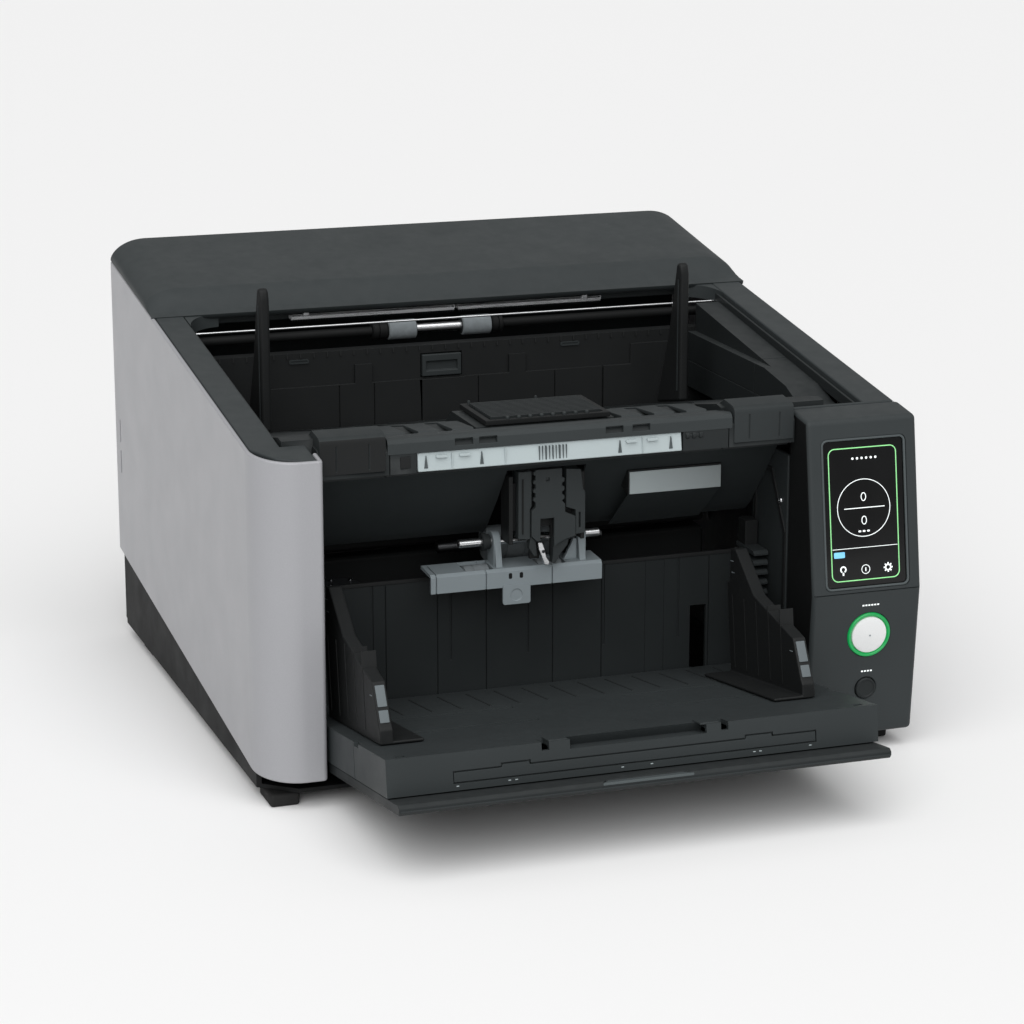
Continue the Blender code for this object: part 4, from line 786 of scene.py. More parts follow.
def hood_shell(sizes):
    """A shell that follows a rule: a profile that curls up to its crest, and a quarter round at each end."""
    edge = low("hood").y
    crest = REAR - 0.113
    crest_rise = 0.0125
    foot = rim_height(edge) + 0.0006
    steps = 12
    profile = []
    for i in range(steps + 1):
        share = i / steps
        y = edge + 0.0035 + (crest - edge - 0.0035) * share
        rise = crest_rise * (0.34 * share + 0.66 * (3 * share ** 2 - 2 * share ** 3))
        profile.append((y, rim_height(y) + 0.0006 + rise))
    top_rear = (REAR - 0.004, high("hood").z - 0.0004)
    front_edge = profile[-1]
    profile = [(edge + 0.0035, foot - 0.004), (edge + 0.0008, foot - 0.0022), (edge, foot)] + profile[1:]
    for i in range(1, 9):
        share = i / 8
        profile.append((front_edge[0] + (top_rear[0] - front_edge[0]) * share,
            front_edge[1] + (top_rear[1] - front_edge[1]) * share))
    profile += arc((REAR - 0.004, high("hood").z - 0.0044), 0.004, 75, 0, 4)
    profile.append((REAR, high("hood").z - 0.009))
    half = high("hood").x
    inset = [0.0] + [sizes.shoulder * (1 - cos(pi / 2 * i / 12)) for i in range(1, 13)]
    columns = [-half + d for d in inset] + [half - d for d in reversed(inset)]
    bm = bmesh.new()
    grid = []
    for x in columns:
        depth = min(half - abs(x), sizes.shoulder) / sizes.shoulder
        share = sqrt(max(0.0, 1 - (1 - depth) ** 2))
        line = []
        for y, z in profile:
            base = rim_height(y) + 0.0006
            line.append(bm.verts.new((x, y, base + (z - base) * (share if z > base else 1.0))))
        grid.append(line)
    for first, second in zip(grid, grid[1:]):
        for i in range(len(profile) - 1):
            bm.faces.new((first[i], second[i], second[i + 1], first[i + 1]))
    bmesh.ops.remove_doubles(bm, verts=bm.verts, dist=0.00001)
    bmesh.ops.recalc_face_normals(bm, faces=bm.faces)
    if sum(face.normal.z for face in bm.faces) < 0:
        bmesh.ops.reverse_faces(bm, faces=bm.faces)
    hood = shape("hood_shell", bm)
    wall = hood.modifiers.new("wall", "SOLIDIFY")
    wall.thickness = 0.0024
    wall.offset = -1.0
    settle(hood)
    return fit(hood, "hood", CHARCOAL, "charcoal_cover", "hood", sharp=0.7)


def hood_ribs(sizes):
    """Stiffening ribs under the hood, seen when it stands open."""
    start, end = REAR - 0.1, REAR - 0.012
    outline = [(start, rim_height(start) + 0.002), (end, rim_height(end) + 0.002),
        (end, rim_height(end) + 0.0125), (start, rim_height(start) + 0.0095)]
    rib = slab("hood_ribs", outline, "X", LEFT + 0.04, LEFT + 0.0415)
    count = 11
    ribs = row(rib, "black_inner", count, ((RIGHT - LEFT - 0.08) / (count - 1), 0, 0))
    fit(ribs, "hood", CHARCOAL, None)


def operator_housing(sizes):
    """The panel housing: two faces that meet at a seam, a window for the screen and dished button seats."""
    back = high("operator_housing").y
    left, right = BAY_RIGHT, RIGHT
    outline = [(FACE_TOP.y, FACE_TOP.z), (SEAM.y, SEAM.z), (FACE_FOOT.y, FACE_FOOT.z), (back, FACE_FOOT.z),
        (back, rim_height(back))]
    housing = soften(slab("panel_housing", outline, "X", left, right), 0.0034, 4, 0.9)
    inside = [(FACE_TOP.y + 2 * WALL, FACE_TOP.z - 2 * WALL), (SEAM.y + 2 * WALL, SEAM.z),
        (FACE_FOOT.y + 2 * WALL, FACE_FOOT.z + WALL), (back + WALL, FACE_FOOT.z + WALL),
        (back + WALL, FACE_TOP.z - 2 * WALL)]
    hollow = slab("hollow", inside, "X", left + WALL, right - WALL)
    glass_left, glass_right = low("touch_screen").x - HAIR, high("touch_screen").x + HAIR
    window = slab("window", rounded_box(glass_left, 0.0037, glass_right, 0.1043, 0.0035), "Z", -0.0056, 0.004)
    moved(window, FACE)
    flare = slab("flare", rounded_box(glass_left - 0.0016, 0.0022, glass_right + 0.0016, 0.1058, 0.0045),
        "Z", -0.0009, 0.004)
    moved(flare, FACE)
    seam = slab("seam_line", [(SEAM.y - 0.004, SEAM.z - 0.0004), (SEAM.y + 0.0012, SEAM.z - 0.0004),
        (SEAM.y + 0.0012, SEAM.z + 0.0004), (SEAM.y - 0.004, SEAM.z + 0.0004)], "X", left - WALL,
        right + WALL)
    cutters = [hollow, window, flare, seam]
    for node, seat in (("start_button_ring", 0.0166), ("power_button", 0.0086)):
        centre, out = button_place(node)
        dish = [(-0.0052, seat - 0.0009), (-0.0004, seat - 0.0006), (0.0014, seat + 0.0016)]
        cutters.append(turned("dish", centre, out, dish, 64))
    carve(housing, *cutters)
    fixed(housing, CHARCOAL, "charcoal_cover", "operator_housing")
    # The housing's side facing into the bay takes the deep black: painted shade.
    paint_faces(housing, "deep_black", lambda middle, normal: normal.x < -0.9 and middle.x < left + 0.001)
    # A lighter ring round the window: painted highlight on the raised bezel's edge.
    edge = rounded_box(glass_left - 0.0004, 0.0033, glass_right + 0.0004, 0.1047, 0.0038)
    edge_highlight = wire("screen_edge_highlight", [FACE @ Vector((x, up, -0.0007)) for x, up in edge], 0.00085, closed=True)
    fixed(edge_highlight, CHARCOAL, "highlight_and_print_grey")


def button_place(node):
    """Where a button's axis meets the lower face, and the direction out of it."""
    middle = (low(node) + high(node)) / 2
    out = LOWER.to_3x3() @ Vector((0, 0, 1))
    depth = (middle - FACE_FOOT).dot(out)
    return middle - out * depth, out


GLASS = -0.0015  # the glass stands this far behind the upper face


def screen_line(name, points, finish, width, closed=False):
    """A drawn line on the glass, through points across and up the face."""
    line = wire(name, [FACE @ Vector((x, up, GLASS)) for x, up in points], width / 2, 2, closed)
    return fixed(line, "screen_glass", finish)


def touch_screen(sizes):
    """The glass, and the generic signs that it shows."""
    left, right = low("touch_screen").x, high("touch_screen").x
    glass = slab("screen_plate", rounded_box(left, 0.0043, right, 0.1037, 0.0032), "Z", -0.0055, GLASS)
    fixed(soften(moved(glass, FACE), 0.0004), "screen_glass", "screen_glass", "touch_screen")
    middle = (left + right) / 2
    border = rounded_box(left + 0.0042, 0.0085, right - 0.0052, 0.0985, 0.0045)
    screen_line("screen_border", border, "screen_line", 0.00075, True)
    dial = (middle - 0.0005, 0.0575)
    screen_line("screen_dial", arc(dial, 0.0195, 0, 352, 44), "screen_mark", 0.0005, True)
    screen_line("screen_dial_bar", [(dial[0] - 0.0145, dial[1]), (dial[0] + 0.0155, dial[1])],
        "screen_mark", 0.0006)
    for place, up in (("upper", 0.0075), ("lower", -0.0085)):
        digit = [(dial[0] + 0.0017 * cos(tau * i / 20), dial[1] + up + 0.0027 * sin(tau * i / 20))
            for i in range(20)]
        screen_line(f"screen_digit_{place}", digit, "screen_mark", 0.0006, True)
    caption = (middle - 0.0085, 0.0905, middle - 0.0069, 0.0921, 0.0007, 3)
    note = (dial[0] - 0.0045, dial[1] - 0.0165, dial[0] - 0.0025, dial[1] - 0.0153, 0.0005, 3)
    for name, box, count, step in (("screen_caption", caption, 6, 0.0034), ("screen_note", note, 3, 0.0032)):
        mark = slab(name, rounded_box(*box), "Z", -0.0017, -0.0014)
        fixed(moved(row(mark, "screen_mark", count, (step, 0, 0)), FACE), "screen_glass", None)
    screen_line("screen_divider", [(left + 0.005, 0.0305), (right - 0.006, 0.0305)], "screen_mark", 0.0004)
    chip = rounded_box(left + 0.006, 0.0245, left + 0.014, 0.0285, 0.0006, 3)
    chip = moved(slab("screen_chip", chip, "Z", GLASS - 0.0002, GLASS + 0.0001), FACE)
    fixed(chip, "screen_glass", "screen_chip")
    icons = [left + 0.0125, middle - 0.0005, right - 0.0135]
    screen_line("screen_icon_lamp", arc((icons[0], 0.0165), 0.0019, -60, 240, 14), "screen_mark", 0.001)
    screen_line("screen_icon_stem", [(icons[0], 0.0145), (icons[0], 0.0125)], "screen_mark", 0.0012)
    screen_line("screen_icon_round", arc((icons[1], 0.0155), 0.003, 0, 345, 24), "screen_mark", 0.0005, True)
    screen_line("screen_icon_bar", [(icons[1], 0.0142), (icons[1], 0.0168)], "screen_mark", 0.0007)
    screen_line("screen_icon_ring", arc((icons[2], 0.0155), 0.0019, 0, 345, 20), "screen_mark", 0.001, True)
    tooth = block("screen_icon_teeth", (0.0022, -0.0005, -0.0002), (0.0033, 0.0005, 0.0001))
    teeth = ring(tooth, "screen_mark", 8, (0, 0, tau / 8), (icons[2], 0.0155, GLASS))
    fixed(moved(teeth, FACE), "screen_glass", None)


def buttons(sizes):
    """The start button in its light ring, the power button, and the dashed captions above them."""
    centre, out = button_place("start_button_ring")
    light = turned("start_ring", centre, out, [(-0.0035, 0.0134), (-0.0035, 0.0157), (0.0004, 0.0157),
        (0.001, 0.0152), (0.001, 0.0142), (0.0005, 0.0137), (-0.0001, 0.0135)], 96)
    core = turned("ring_core", centre, out, [(-0.006, 0.01335), (0.004, 0.01335)], 96)
    fixed(carve(light, core), "ring_light", "ring_light", "start_button_ring")
    centre, out = button_place("start_button")
    dome = [(0.001 + 0.0009 * (1 - (radius / 0.012) ** 2), radius)
        for radius in (0.012, 0.0105, 0.0085, 0.006, 0.0035, 0.0012)]
    disc = turned("start_disc", centre, out, [(-0.003, 0.013), (0.0002, 0.013), (0.0008, 0.0126)] + dome, 96)
    fit(disc, "start_button", "button_silver", "button_face", "start_button")
    sign = turned("start_mark", centre + out * 0.0018, out, [(-0.0004, 0.0006), (0.0003, 0.0006),
        (0.0004, 0.0004)], 16)
    fit(sign, "start_button", "button_silver", "slate_plate")
    centre, out = button_place("power_button")
    cap = [(-0.0035, 0.0074), (0.0004, 0.0074), (0.001, 0.0069), (0.0011, 0.0062), (0.0006, 0.0056),
        (0.0005, 0.002)]
    fit(turned("power_cap", centre, out, cap, 64), "power_button", CHARCOAL,
        "dark_tray", "power_button")
    # The dashes take the screen's glowing mark finish: real print, with a painted glow.
    for node, above, count in (("start_button", 0.0215, 6), ("power_button", 0.0125, 4)):
        centre, out = button_place(node)
        dash = block(f"{node}_dashes", (-0.0007, -0.0005, -0.0001), (0.0007, 0.0005, 0.0001))
        place = LOWER.copy()
        place.translation = centre + LOWER_UP * above - ACROSS * (count - 1) * 0.0011
        fixed(row(moved(dash, place), "screen_mark", count, ACROSS * 0.0022),
            CHARCOAL, None)


# Stage

def stage(settings):
    """The floor, the lamps and the camera."""
    floor = block("floor", (-30, -30, -0.02), (30, 30, 0.0))
    surface = Finish("floor_paper", roughness=0.9, Specular_IOR_Level=0.1)
    fibre = surface.noise(900.0, 3.0)
    surface.feed("Base Color", surface.blend(fibre, shade(settings.floor, 0.995),
        shade(settings.floor, 1.005)))
    floor.data.materials.append(surface.material)

    world = bpy.context.scene.world or bpy.data.worlds.new("studio")
    bpy.context.scene.world = world
    world.use_nodes = True
    sky = world.node_tree.nodes["Background"]
    sky.inputs["Color"].default_value = (1.0, 1.0, 1.0, 1.0)
    sky.inputs["Strength"].default_value = settings.sky

    for name, place, aim, kind, size, power in (
            ("key_light", (-0.62, -1.8, 2.6), (0, 0, 0), "SUN", 1.3, settings.key),
            ("front_lamp", (-0.9, -2.2, 0.9), (0, -0.1, 0.1), "AREA", 1.0, settings.rim)):
        lamp = bpy.data.lights.new(name, kind)
        if kind == "SUN":
            lamp.angle = size
        else:
            lamp.shape, lamp.size = "DISK", size
        lamp.energy = power
        holder = bpy.data.objects.new(name, lamp)
        holder.location = place
        holder.rotation_euler = (Vector(aim) - Vector(place)).to_track_quat("-Z", "Y").to_euler()
        bpy.context.scene.collection.objects.link(holder)
    bpy.context.scene.view_settings.view_transform = "Standard"

    lens = bpy.data.cameras.new("view")
    lens.lens = settings.lens
    lens.sensor_width = 36.0
    lens.clip_end = 100.0
    camera = bpy.data.objects.new("view", lens)
    camera.location = settings.camera
    camera.rotation_euler = settings.turn
    bpy.context.scene.collection.objects.link(camera)
    bpy.context.scene.camera = camera


# Nodes whose shape is right already, each shown as a copy with rounded edges:
#   node, piece, body, finish, edge rounding
ROUNDED = (
    ("base_pan", "base_shell", "chassis", "deep_black", 0.001),
    ("bay_panel_left", "bay_lining_left", "chassis", "black_inner", 0.0006),
    ("bay_panel_right", "bay_lining_right", "chassis", "charcoal_side", 0.0006),
    ("throat_cover", "throat_sheet", "chassis", "charcoal_side", 0.0006),
    ("rear_cover", "rear_shell", "chassis", "charcoal_side", 0.0008),
    ("frame_left", "side_frame_left", "chassis", "plate_steel", 0.0004),
    ("frame_right", "side_frame_right", "chassis", "plate_steel", 0.0004),
    ("drive_belt", "drive_belt_loop", "chassis", "black_tyre", 0.0002),
    ("image_sensor_upper", "sensor_case_upper", "chassis", "black_inner", 0.001),
    ("image_sensor_lower", "sensor_case_lower", "chassis", "black_inner", 0.001),
    ("main_board", "board_plate", "chassis", "circuit_board", 0.0002),
    ("power_supply", "supply_case", "chassis", "plate_steel", 0.0012),
    ("power_inlet", "inlet_shell", "chassis", "black_inner", 0.0005),
    ("usb_port", "usb_shell", "chassis", "drawn_steel", 0.0004),
    ("network_port", "network_shell", "chassis", "drawn_steel", 0.0004),
    ("fan_frame", "fan_housing", "chassis", "black_inner", 0.001),
    ("fan_rotor", "fan_wheel", "fan_rotor", "black_inner", 0.0003),
)


def rounded_copies(sizes):
    """The pieces of the list above."""
    slots = {part["node"]: part["material_slot"] for part in frame["record"]["subparts"]}
    for node, piece, body, finish, edge in ROUNDED:
        fit(soften(copy_of(node, piece), edge), body, slots[node], finish, node)


# Base and feet

def feet(sizes):
    """Rubber feet with a chamfered tread and grooves across the sole."""
    for node in ("foot_front_left", "foot_front_right", "foot_rear_left", "foot_rear_right"):
        first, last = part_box(node)
        foot = soften(block(node.replace("foot", "pad"), first, last), 0.0022, 3)
        groove = block("groove", (first.x - WALL, first.y + 0.004, -WALL),
            (last.x + WALL, first.y + 0.0052, 0.001))
        fixed(carve(foot, row(groove, "foot_rubber", 6, (0, 0.0042, 0))),
            "foot_rubber", "foot_rubber", node)


# Well and eject section

def well(sizes):
    """The well's rear wall with stepped panels, parting grooves and the two small slots."""
    wall = soften(copy_of("well_rear_wall", "well_wall"), 0.0009)
    fixed(wall, BLACK, "black_inner", "well_rear_wall")
    face, foot, ledge, step = WELL_WALL, low("well_rear_wall").z + 0.001, 0.2205, 0.014
    tabs = ((-0.085, -0.072), (0.0335, 0.0465))
    outline = [(-0.16, foot), (0.107, foot), (0.107, ledge)]
    for left, right in reversed(tabs):
        outline += [(right, ledge), (right, ledge + step), (left, ledge + step), (left, ledge)]
    outline.append((-0.16, ledge))
    panel = slab("well_panel", outline, "Y", face - 0.0022, face + 0.0004)
    latch = (low("release_tab") + high("release_tab")) / 2
    cutters = [block("latch_gap", (latch.x - 0.017, face - WALL, latch.z - 0.01),
        (latch.x + 0.017, face + WALL, 0.25))]
    cutters += slots((-0.097, -0.0705, -0.0345, 0.0095, 0.0695), sizes.seam, (face - WALL, foot - WALL),
        (face - 0.0008, ledge - 0.0008))
    fixed(soften(carve(panel, *cutters), 0.0004), BLACK, "black_inner")
    side = slab("well_panel_right", [(0.1085, foot), (0.174, foot), (0.174, 0.236), (0.13, 0.236),
        (0.13, ledge), (0.1085, ledge)], "Y", face - 0.0016, face + 0.0004)
    fixed(soften(side, 0.0004), BLACK, "black_inner")
    for x in (-0.1265, 0.082):
        frame_piece = slab("slot_frame", rounded_box(x - 0.0075, 0.2375, x + 0.0075, 0.2405, 0.0014, 4),
            "Y", face - 0.0007, face + 0.0004)
        inner = slab("slot_hole", rounded_box(x - 0.0062, 0.2382, x + 0.0062, 0.2397, 0.0007, 4), "Y",
            face - WALL, face - 0.0001)
        frame_piece = carve(frame_piece, inner)
        frame_piece.name = f"well_slot_{'left' if x < 0 else 'right'}"
        fixed(frame_piece, BLACK, "charcoal_side")
    rib = slab("well_lip_ribs", [(face - 0.0008, 0.2415), (face + 0.0002, 0.2415), (face + 0.0002, 0.2449),
        (face - 0.0003, 0.2449)], "X", WELL_LEFT + 0.02, WELL_LEFT + 0.021)
    fixed(row(rib, "black_inner", 36, (0.01, 0, 0)), BLACK, None)


def well_side(sizes):
    """The stepped housing along the right of the well, with its parting line."""
    side = copy_of("well_side_right", "well_side")
    first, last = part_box("well_side_right")
    split = first.y + 0.12
    edge = first.x - WALL
    cutters = [block("split", (edge, split, first.z - WALL), (last.x + WALL, split + sizes.seam, 0.3)),
        block("shelf", (edge, first.y + 0.06, 0.242), (first.x + 0.006, last.y + WALL, 0.3)),
        block("line", (edge, first.y - WALL, 0.22), (first.x + 0.0005, last.y + WALL, 0.2207))]
    fixed(soften(carve(side, *cutters), 0.0012, 3), CHARCOAL,
        "dark_tray", "well_side_right")


def release_tab(sizes):
    """The tab with its finger pocket."""
    first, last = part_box("release_tab")
    tab = block("release_pull", first, last)
    pocket = block("pocket", (first.x + 0.003, first.y - WALL, first.z + 0.004),
        (last.x - 0.003, first.y + 0.0024, last.z - 0.005))
    tab = soften(carve(tab, pocket), 0.0006, 3)
    fit(tab, "release_tab", CHARCOAL, "charcoal_side", "release_tab")


def eject(sizes):
    """The shaft with its stepped drums, the two grey tyres on ribbed hubs, and the guide rod."""
    axis_y, axis_z = axis_of("eject_roller_left")
    start, end = low("eject_shaft").x, high("eject_shaft").x
    first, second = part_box("eject_roller_left"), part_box("eject_roller_right")
    thin, drum = 0.0034, 0.0064
    steps = [(start, thin - 0.0004), (start + 0.0004, thin)]
    for a, b in ((first[0].x - 0.012, first[0].x - HAIR), (second[1].x + HAIR, second[1].x + 0.009)):
        steps += [(a, thin), (a + 0.0004, drum - 0.0008), (a + 0.0014, drum), (a + 0.0044, drum),
            (a + 0.0046, drum - 0.001), (a + 0.0054, drum - 0.001), (a + 0.0056, drum), (b - 0.0008, drum),
            (b, drum - 0.0006), (b, thin)]
    steps += [(end - 0.0004, thin), (end, thin - 0.0004)]
    shaft = turned("eject_rod", (0, axis_y, axis_z), ACROSS, steps, 40)
    fit(shaft, "eject_shaft", "steel", "drawn_steel", "eject_shaft")
    paint_faces(shaft, "deep_black", lambda middle, normal: not first[1].x < middle.x < second[0].x)
    for side, (near, far) in (("left", first), ("right", second)):
        length, full = far.x - near.x, 0.0072
        profile = [(0, 0.0037), (0, 0.0058), (0.0003, 0.006), (0.0006, full - 0.0003), (0.0009, full),
            (length - 0.0009, full), (length - 0.0006, full - 0.0003), (length - 0.0003, 0.006),
            (length, 0.0058), (length, 0.0037)]
        tyre = turned(f"eject_tyre_{side}", (near.x, axis_y, axis_z), ACROSS, profile, 56)
        fit(tyre, "eject_shaft", "roller_rubber", "grey_tyre", f"eject_roller_{side}")
        paint_faces(tyre, "dark_tray",
            lambda middle, normal: Vector((0, middle.y - axis_y, middle.z - axis_z)).length < 0.0061)
    near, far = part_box("guide_rod")
    y, z = axis_of("guide_rod")
    z += 0.004
    fixed(rod("guide_wire", (near.x, y, z), (far.x, y, z), 0.0008, 20), "steel",
        "drawn_steel", "guide_rod")


def static_bars(sizes):
    """Two folded discharge bars under the hood's lip, with a comb of fine teeth below each."""
    first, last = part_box("static_bars")
    pieces = []
    halves = ((first.x, -0.0004), (0.0027, last.x))
    for i, (left, right) in enumerate(halves):
        profile = [(first.y, first.z + 0.0004), (first.y + 0.0006, first.z), (last.y - 0.0008, first.z),
            (last.y, first.z + 0.001), (last.y, first.z + 0.003), (last.y - 0.0006, first.z + 0.003),
            (last.y - 0.0006, first.z + 0.0012), (first.y + 0.001, first.z + 0.0008),
            (first.y + 0.0002, first.z + 0.0026), (first.y, first.z + 0.0026)]
        pieces.append(slab(f"bar_{i}", profile, "X", left, right))
        hook = [(right - 0.001, first.y + 0.0015, first.z + 0.0008),
            (right + 0.0006, first.y + 0.0015, first.z + 0.0018),
            (right + 0.0004, first.y + 0.0015, first.z + 0.0036),
            (right - 0.0016, first.y + 0.0015, first.z + 0.004)]
        pieces.append(wire(f"hook_{i}", hook, 0.0006, 2))
        stem = left + 0.01 if i == 0 else right - 0.014
        pieces.append(block(f"stem_{i}", (stem, first.y + 0.002, first.z), (stem + 0.004, last.y, last.z)))
    bars = gather("discharge_bars", pieces)
    fit(bars, "hood", "steel", "drawn_steel", "static_bars")
    for side, (left, right) in zip(("left", "right"), halves):
        tooth = turned(f"discharge_teeth_{side}", (left + 0.001, first.y + 0.0008, first.z - 0.0018),
            (0, 0, 1), [(0, 0.00005), (0.0018, 0.00035), (0.0022, 0.00035)], 6)
        comb = row(tooth, "dark_screw", sizes.brush, ((right - left - 0.002) / (sizes.brush - 1), 0, 0))
        fit(comb, "hood", "steel", None)


# Stacker

CREST = Vector((0, FRONT + 0.077, 0.233))
STACKER_REAR = Vector((0, REAR - 0.165, 0.19))


def stacker_surface(y, above=0.0):
    """The height of the stacker's sloping floor."""
    share = (y - CREST.y) / (STACKER_REAR.y - CREST.y)
    return CREST.z + (STACKER_REAR.z - CREST.z) * share + above


def stacker(sizes):
    """The tray with its nose windows, seams, sloping ramps and raised outer blocks."""
    tray = copy_of("stacker_tray", "stacker_body")
    nose = FRONT + 0.017
    under = block("under", (BAY_LEFT - WALL, nose - WALL, 0.2), (BAY_RIGHT + WALL, nose + 0.011, 0.216))
    seams = slots((BAY_LEFT + 0.049, BAY_RIGHT - 0.049), sizes.seam, (nose - WALL, 0.21), (CREST.y, 0.248))
    fit(soften(carve(tray, under, *seams), 0.0009, 3), "stacker", CHARCOAL,
        "dark_tray", "stacker_tray")
    strip = slab("stacker_lip", [(nose - 0.0004, 0.2291), (nose + 0.004, 0.2291), (nose + 0.023, 0.2345),
        (nose + 0.023, 0.2368), (nose + 0.004, 0.2396), (nose + 0.001, 0.2386), (nose - 0.0004, 0.2362)],
        "X", -0.1384, 0.1024)
    windows = slots((-0.0866, -0.07, 0.018, 0.037), 0.0124, (nose - WALL, 0.2322), (nose + 0.0036, 0.2368))
    fit(soften(carve(strip, *windows), 0.0007), "stacker", CHARCOAL, "charcoal_cover")
    tops = [(nose - 0.001, 0.219), (nose + 0.02, 0.219), (nose + 0.027, 0.234), (nose + 0.027, 0.24),
        (nose + 0.018, 0.2452), (nose + 0.003, 0.2436), (nose, 0.2418), (nose - 0.001, 0.2392)]
    for side, left, right in (("left", BAY_LEFT + 0.002, -0.1398), ("right", 0.1036, BAY_RIGHT - 0.002)):
        outer = slab(f"stacker_end_{side}", tops, "X", left, right)
        seams = slots((left + 0.011, left + 0.033), 0.0008, (nose - WALL, 0.221), (nose - 0.0002, 0.238))
        fit(soften(carve(outer, *seams), 0.0014, 3), "stacker", CHARCOAL, "charcoal_side")
        # The left end block's front faces take the black finish: painted shade, darker than its lit top.
        if side == "left":
            paint_faces(outer, "black_inner", lambda middle, normal: normal.y < -0.8)
    reel = [(0, 0.001), (0, 0.0024), (0.002, 0.0026), (0.0024, 0.0018), (0.0044, 0.0018), (0.0048, 0.0026),
        (0.0068, 0.0026), (0.0072, 0.0018), (0.0092, 0.0018), (0.0096, 0.0026), (0.012, 0.0024),
        (0.012, 0.001)]
    fit(turned("stacker_clip_right", (0.069, nose + 0.0014, 0.2262), ACROSS, reel, 24),
        "stacker", BLACK, "dark_tray")
    catch = block("stacker_clip_left", (-0.13, nose - 0.0008, 0.2195), (-0.123, nose + 0.0006, 0.2275))
    fit(soften(catch, 0.0006), "stacker", BLACK, "black_inner")
    start, end = nose + 0.024, CREST.y + 0.052
    ramp = [(start, 0.234), (start + 0.003, 0.2372), (CREST.y, CREST.z + 0.0012),
        (end, stacker_surface(end, 0.0009)), (end, stacker_surface(end, -0.001)), (CREST.y, CREST.z - 0.001)]
    # The ramps take the lighter cover charcoal against the darker tray: painted light on their lit tops.
    for side, x in (("left", -0.133), ("right", 0.033)):
        piece = soften(slab(f"stacker_ramps_{side}", ramp, "X", x, x + 0.015), 0.0008)
        fit(row(piece, "charcoal_cover", 3, (0.0235, 0, 0)), "stacker", CHARCOAL, None)
    strip = [(CREST.y + along, stacker_surface(CREST.y + along, above))
        for along, above in ((0.062, -0.0005), (0.062, 0.0008), (0.176, 0.0008), (0.176, -0.0005))]
    rib = soften(slab("stacker_floor_ribs", strip, "X", -0.14, -0.1384), 0.0003)
    fit(row(rib, "dark_tray", 12, (0.024, 0, 0)), "stacker", CHARCOAL, None)
    bed = [(CREST.y - 0.03, CREST.z - 0.002), (CREST.y - 0.03, CREST.z + 0.003),
        (CREST.y + 0.022, CREST.z + 0.003), (CREST.y + 0.04, stacker_surface(CREST.y + 0.04, 0.0004)),
        (CREST.y + 0.04, stacker_surface(CREST.y + 0.04, -0.001))]
    left, right = low("stacker_stopper").x - 0.006, high("stacker_stopper").x + 0.004
    fit(soften(slab("stopper_bed", bed, "X", left, right), 0.0008), "stacker", CHARCOAL,
        "dark_tray")


def stacker_stopper(sizes):
    """The flip-up stopper: a framed plate with fine ridges and two pegs at its rear."""
    first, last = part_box("stacker_stopper")
    plate = block("stopper_plate", first, (last.x, last.y, first.z + 0.0034))
    pocket = block("pocket", (first.x + 0.004, first.y + 0.004, first.z + 0.0024),
        (last.x - 0.004, last.y - 0.004, first.z + 0.008))
    fit(soften(carve(plate, pocket), 0.0006), "stacker_stopper", BLACK,
        "black_inner", "stacker_stopper")
    ridge = block("stopper_ridges", (first.x + 0.005, first.y + 0.0052, first.z + 0.0018),
        (last.x - 0.005, first.y + 0.007, first.z + 0.0048))
    fit(row(soften(ridge, 0.0005), "dark_tray", 13, (0, 0.0036, 0)), "stacker_stopper", BLACK, None)
    stud = turned("stopper_studs", (first.x + 0.016, first.y + 0.0026, first.z + 0.002), (0, 0, 1),
        [(0, 0.0017), (0.0024, 0.0015), (0.003, 0.001)], 16)
    fit(row(stud, "charcoal_side", 8, (0.008, 0, 0)), "stacker_stopper", BLACK, None)
    peg = turned("stopper_pegs", (first.x + 0.006, last.y - 0.002, first.z + 0.002), (0, 0, 1),
        [(0, 0.0012), (0.003, 0.0011), (0.0036, 0.0007)], 16)
    fit(row(peg, "charcoal_side", 2, (0.048, 0, 0)), "stacker_stopper", BLACK, None)


def stacker_extension(sizes):
    """The pale pull-out bar, with its grip marks, raised lines and printed centre scale."""
    bar = soften(copy_of("stacker_extension", "extension_bar"), 0.0008, 3)
    fit(bar, "stacker_extension", "pale_plastic", "pale_bar", "stacker_extension")
    first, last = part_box("stacker_extension")
    face, foot = first.y, first.z
    left = first.x
    for i, along in enumerate((0.0053, 0.0434, 0.1398, 0.176)):
        x = left + along
        mark = slab(f"bar_notch_{i}", [(x - 0.0013, foot + 0.0022), (x + 0.0013, foot + 0.0022),
            (x + 0.0001, foot + 0.0105)], "Y", face - 0.0001, face + 0.0022)
        moved(mark, Matrix.Translation((0, 0.00015, 0)))
        fit(mark, "stacker_extension", "pale_plastic", "highlight_and_print_grey")
    for i, along in enumerate((0.0168, 0.0327, 0.1487, 0.1637)):
        x = left + along
        outline = rounded_box(x - 0.0048, foot + 0.0085, x + 0.003, foot + 0.0104, 0.0009, 4)
        lug = slab(f"bar_lug_{i}", outline, "Y", face - 0.0006, face + 0.0026)
        fit(soften(lug, 0.0003), "stacker_extension", "pale_plastic", "pale_bar")
    for i, along in enumerate((0.023, 0.0596, 0.1558)):
        x = left + along
        line = block(f"bar_line_{i}", (x - 0.0003, face - 0.0003, foot + 0.0008),
            (x + 0.0003, face + 0.002, foot + 0.0112))
        fit(soften(line, 0.0001), "stacker_extension", "pale_plastic", "pale_bar")
    widths = (0.0005, 0.0003, 0.0009, 0.0004, 0.0007, 0.0003, 0.0009, 0.0005, 0.0003)
    place = left + 0.083
    lines = []
    for width in widths:
        lines.append(block("print", (place, face - 0.00012, foot + 0.0018),
            (place + width, face + 0.0015, foot + 0.0108)))
        place += width + 0.0018
    fit(gather("bar_scale", lines), "stacker_extension", "pale_plastic", "highlight_and_print_grey")
    top = block("bar_ledge", (left + 0.002, face + 0.0022, last.z - 0.001),
        (last.x - 0.002, face + 0.003, last.z + 0.0004))
    fit(soften(top, 0.0002), "stacker_extension", "pale_plastic", "slate_plate")


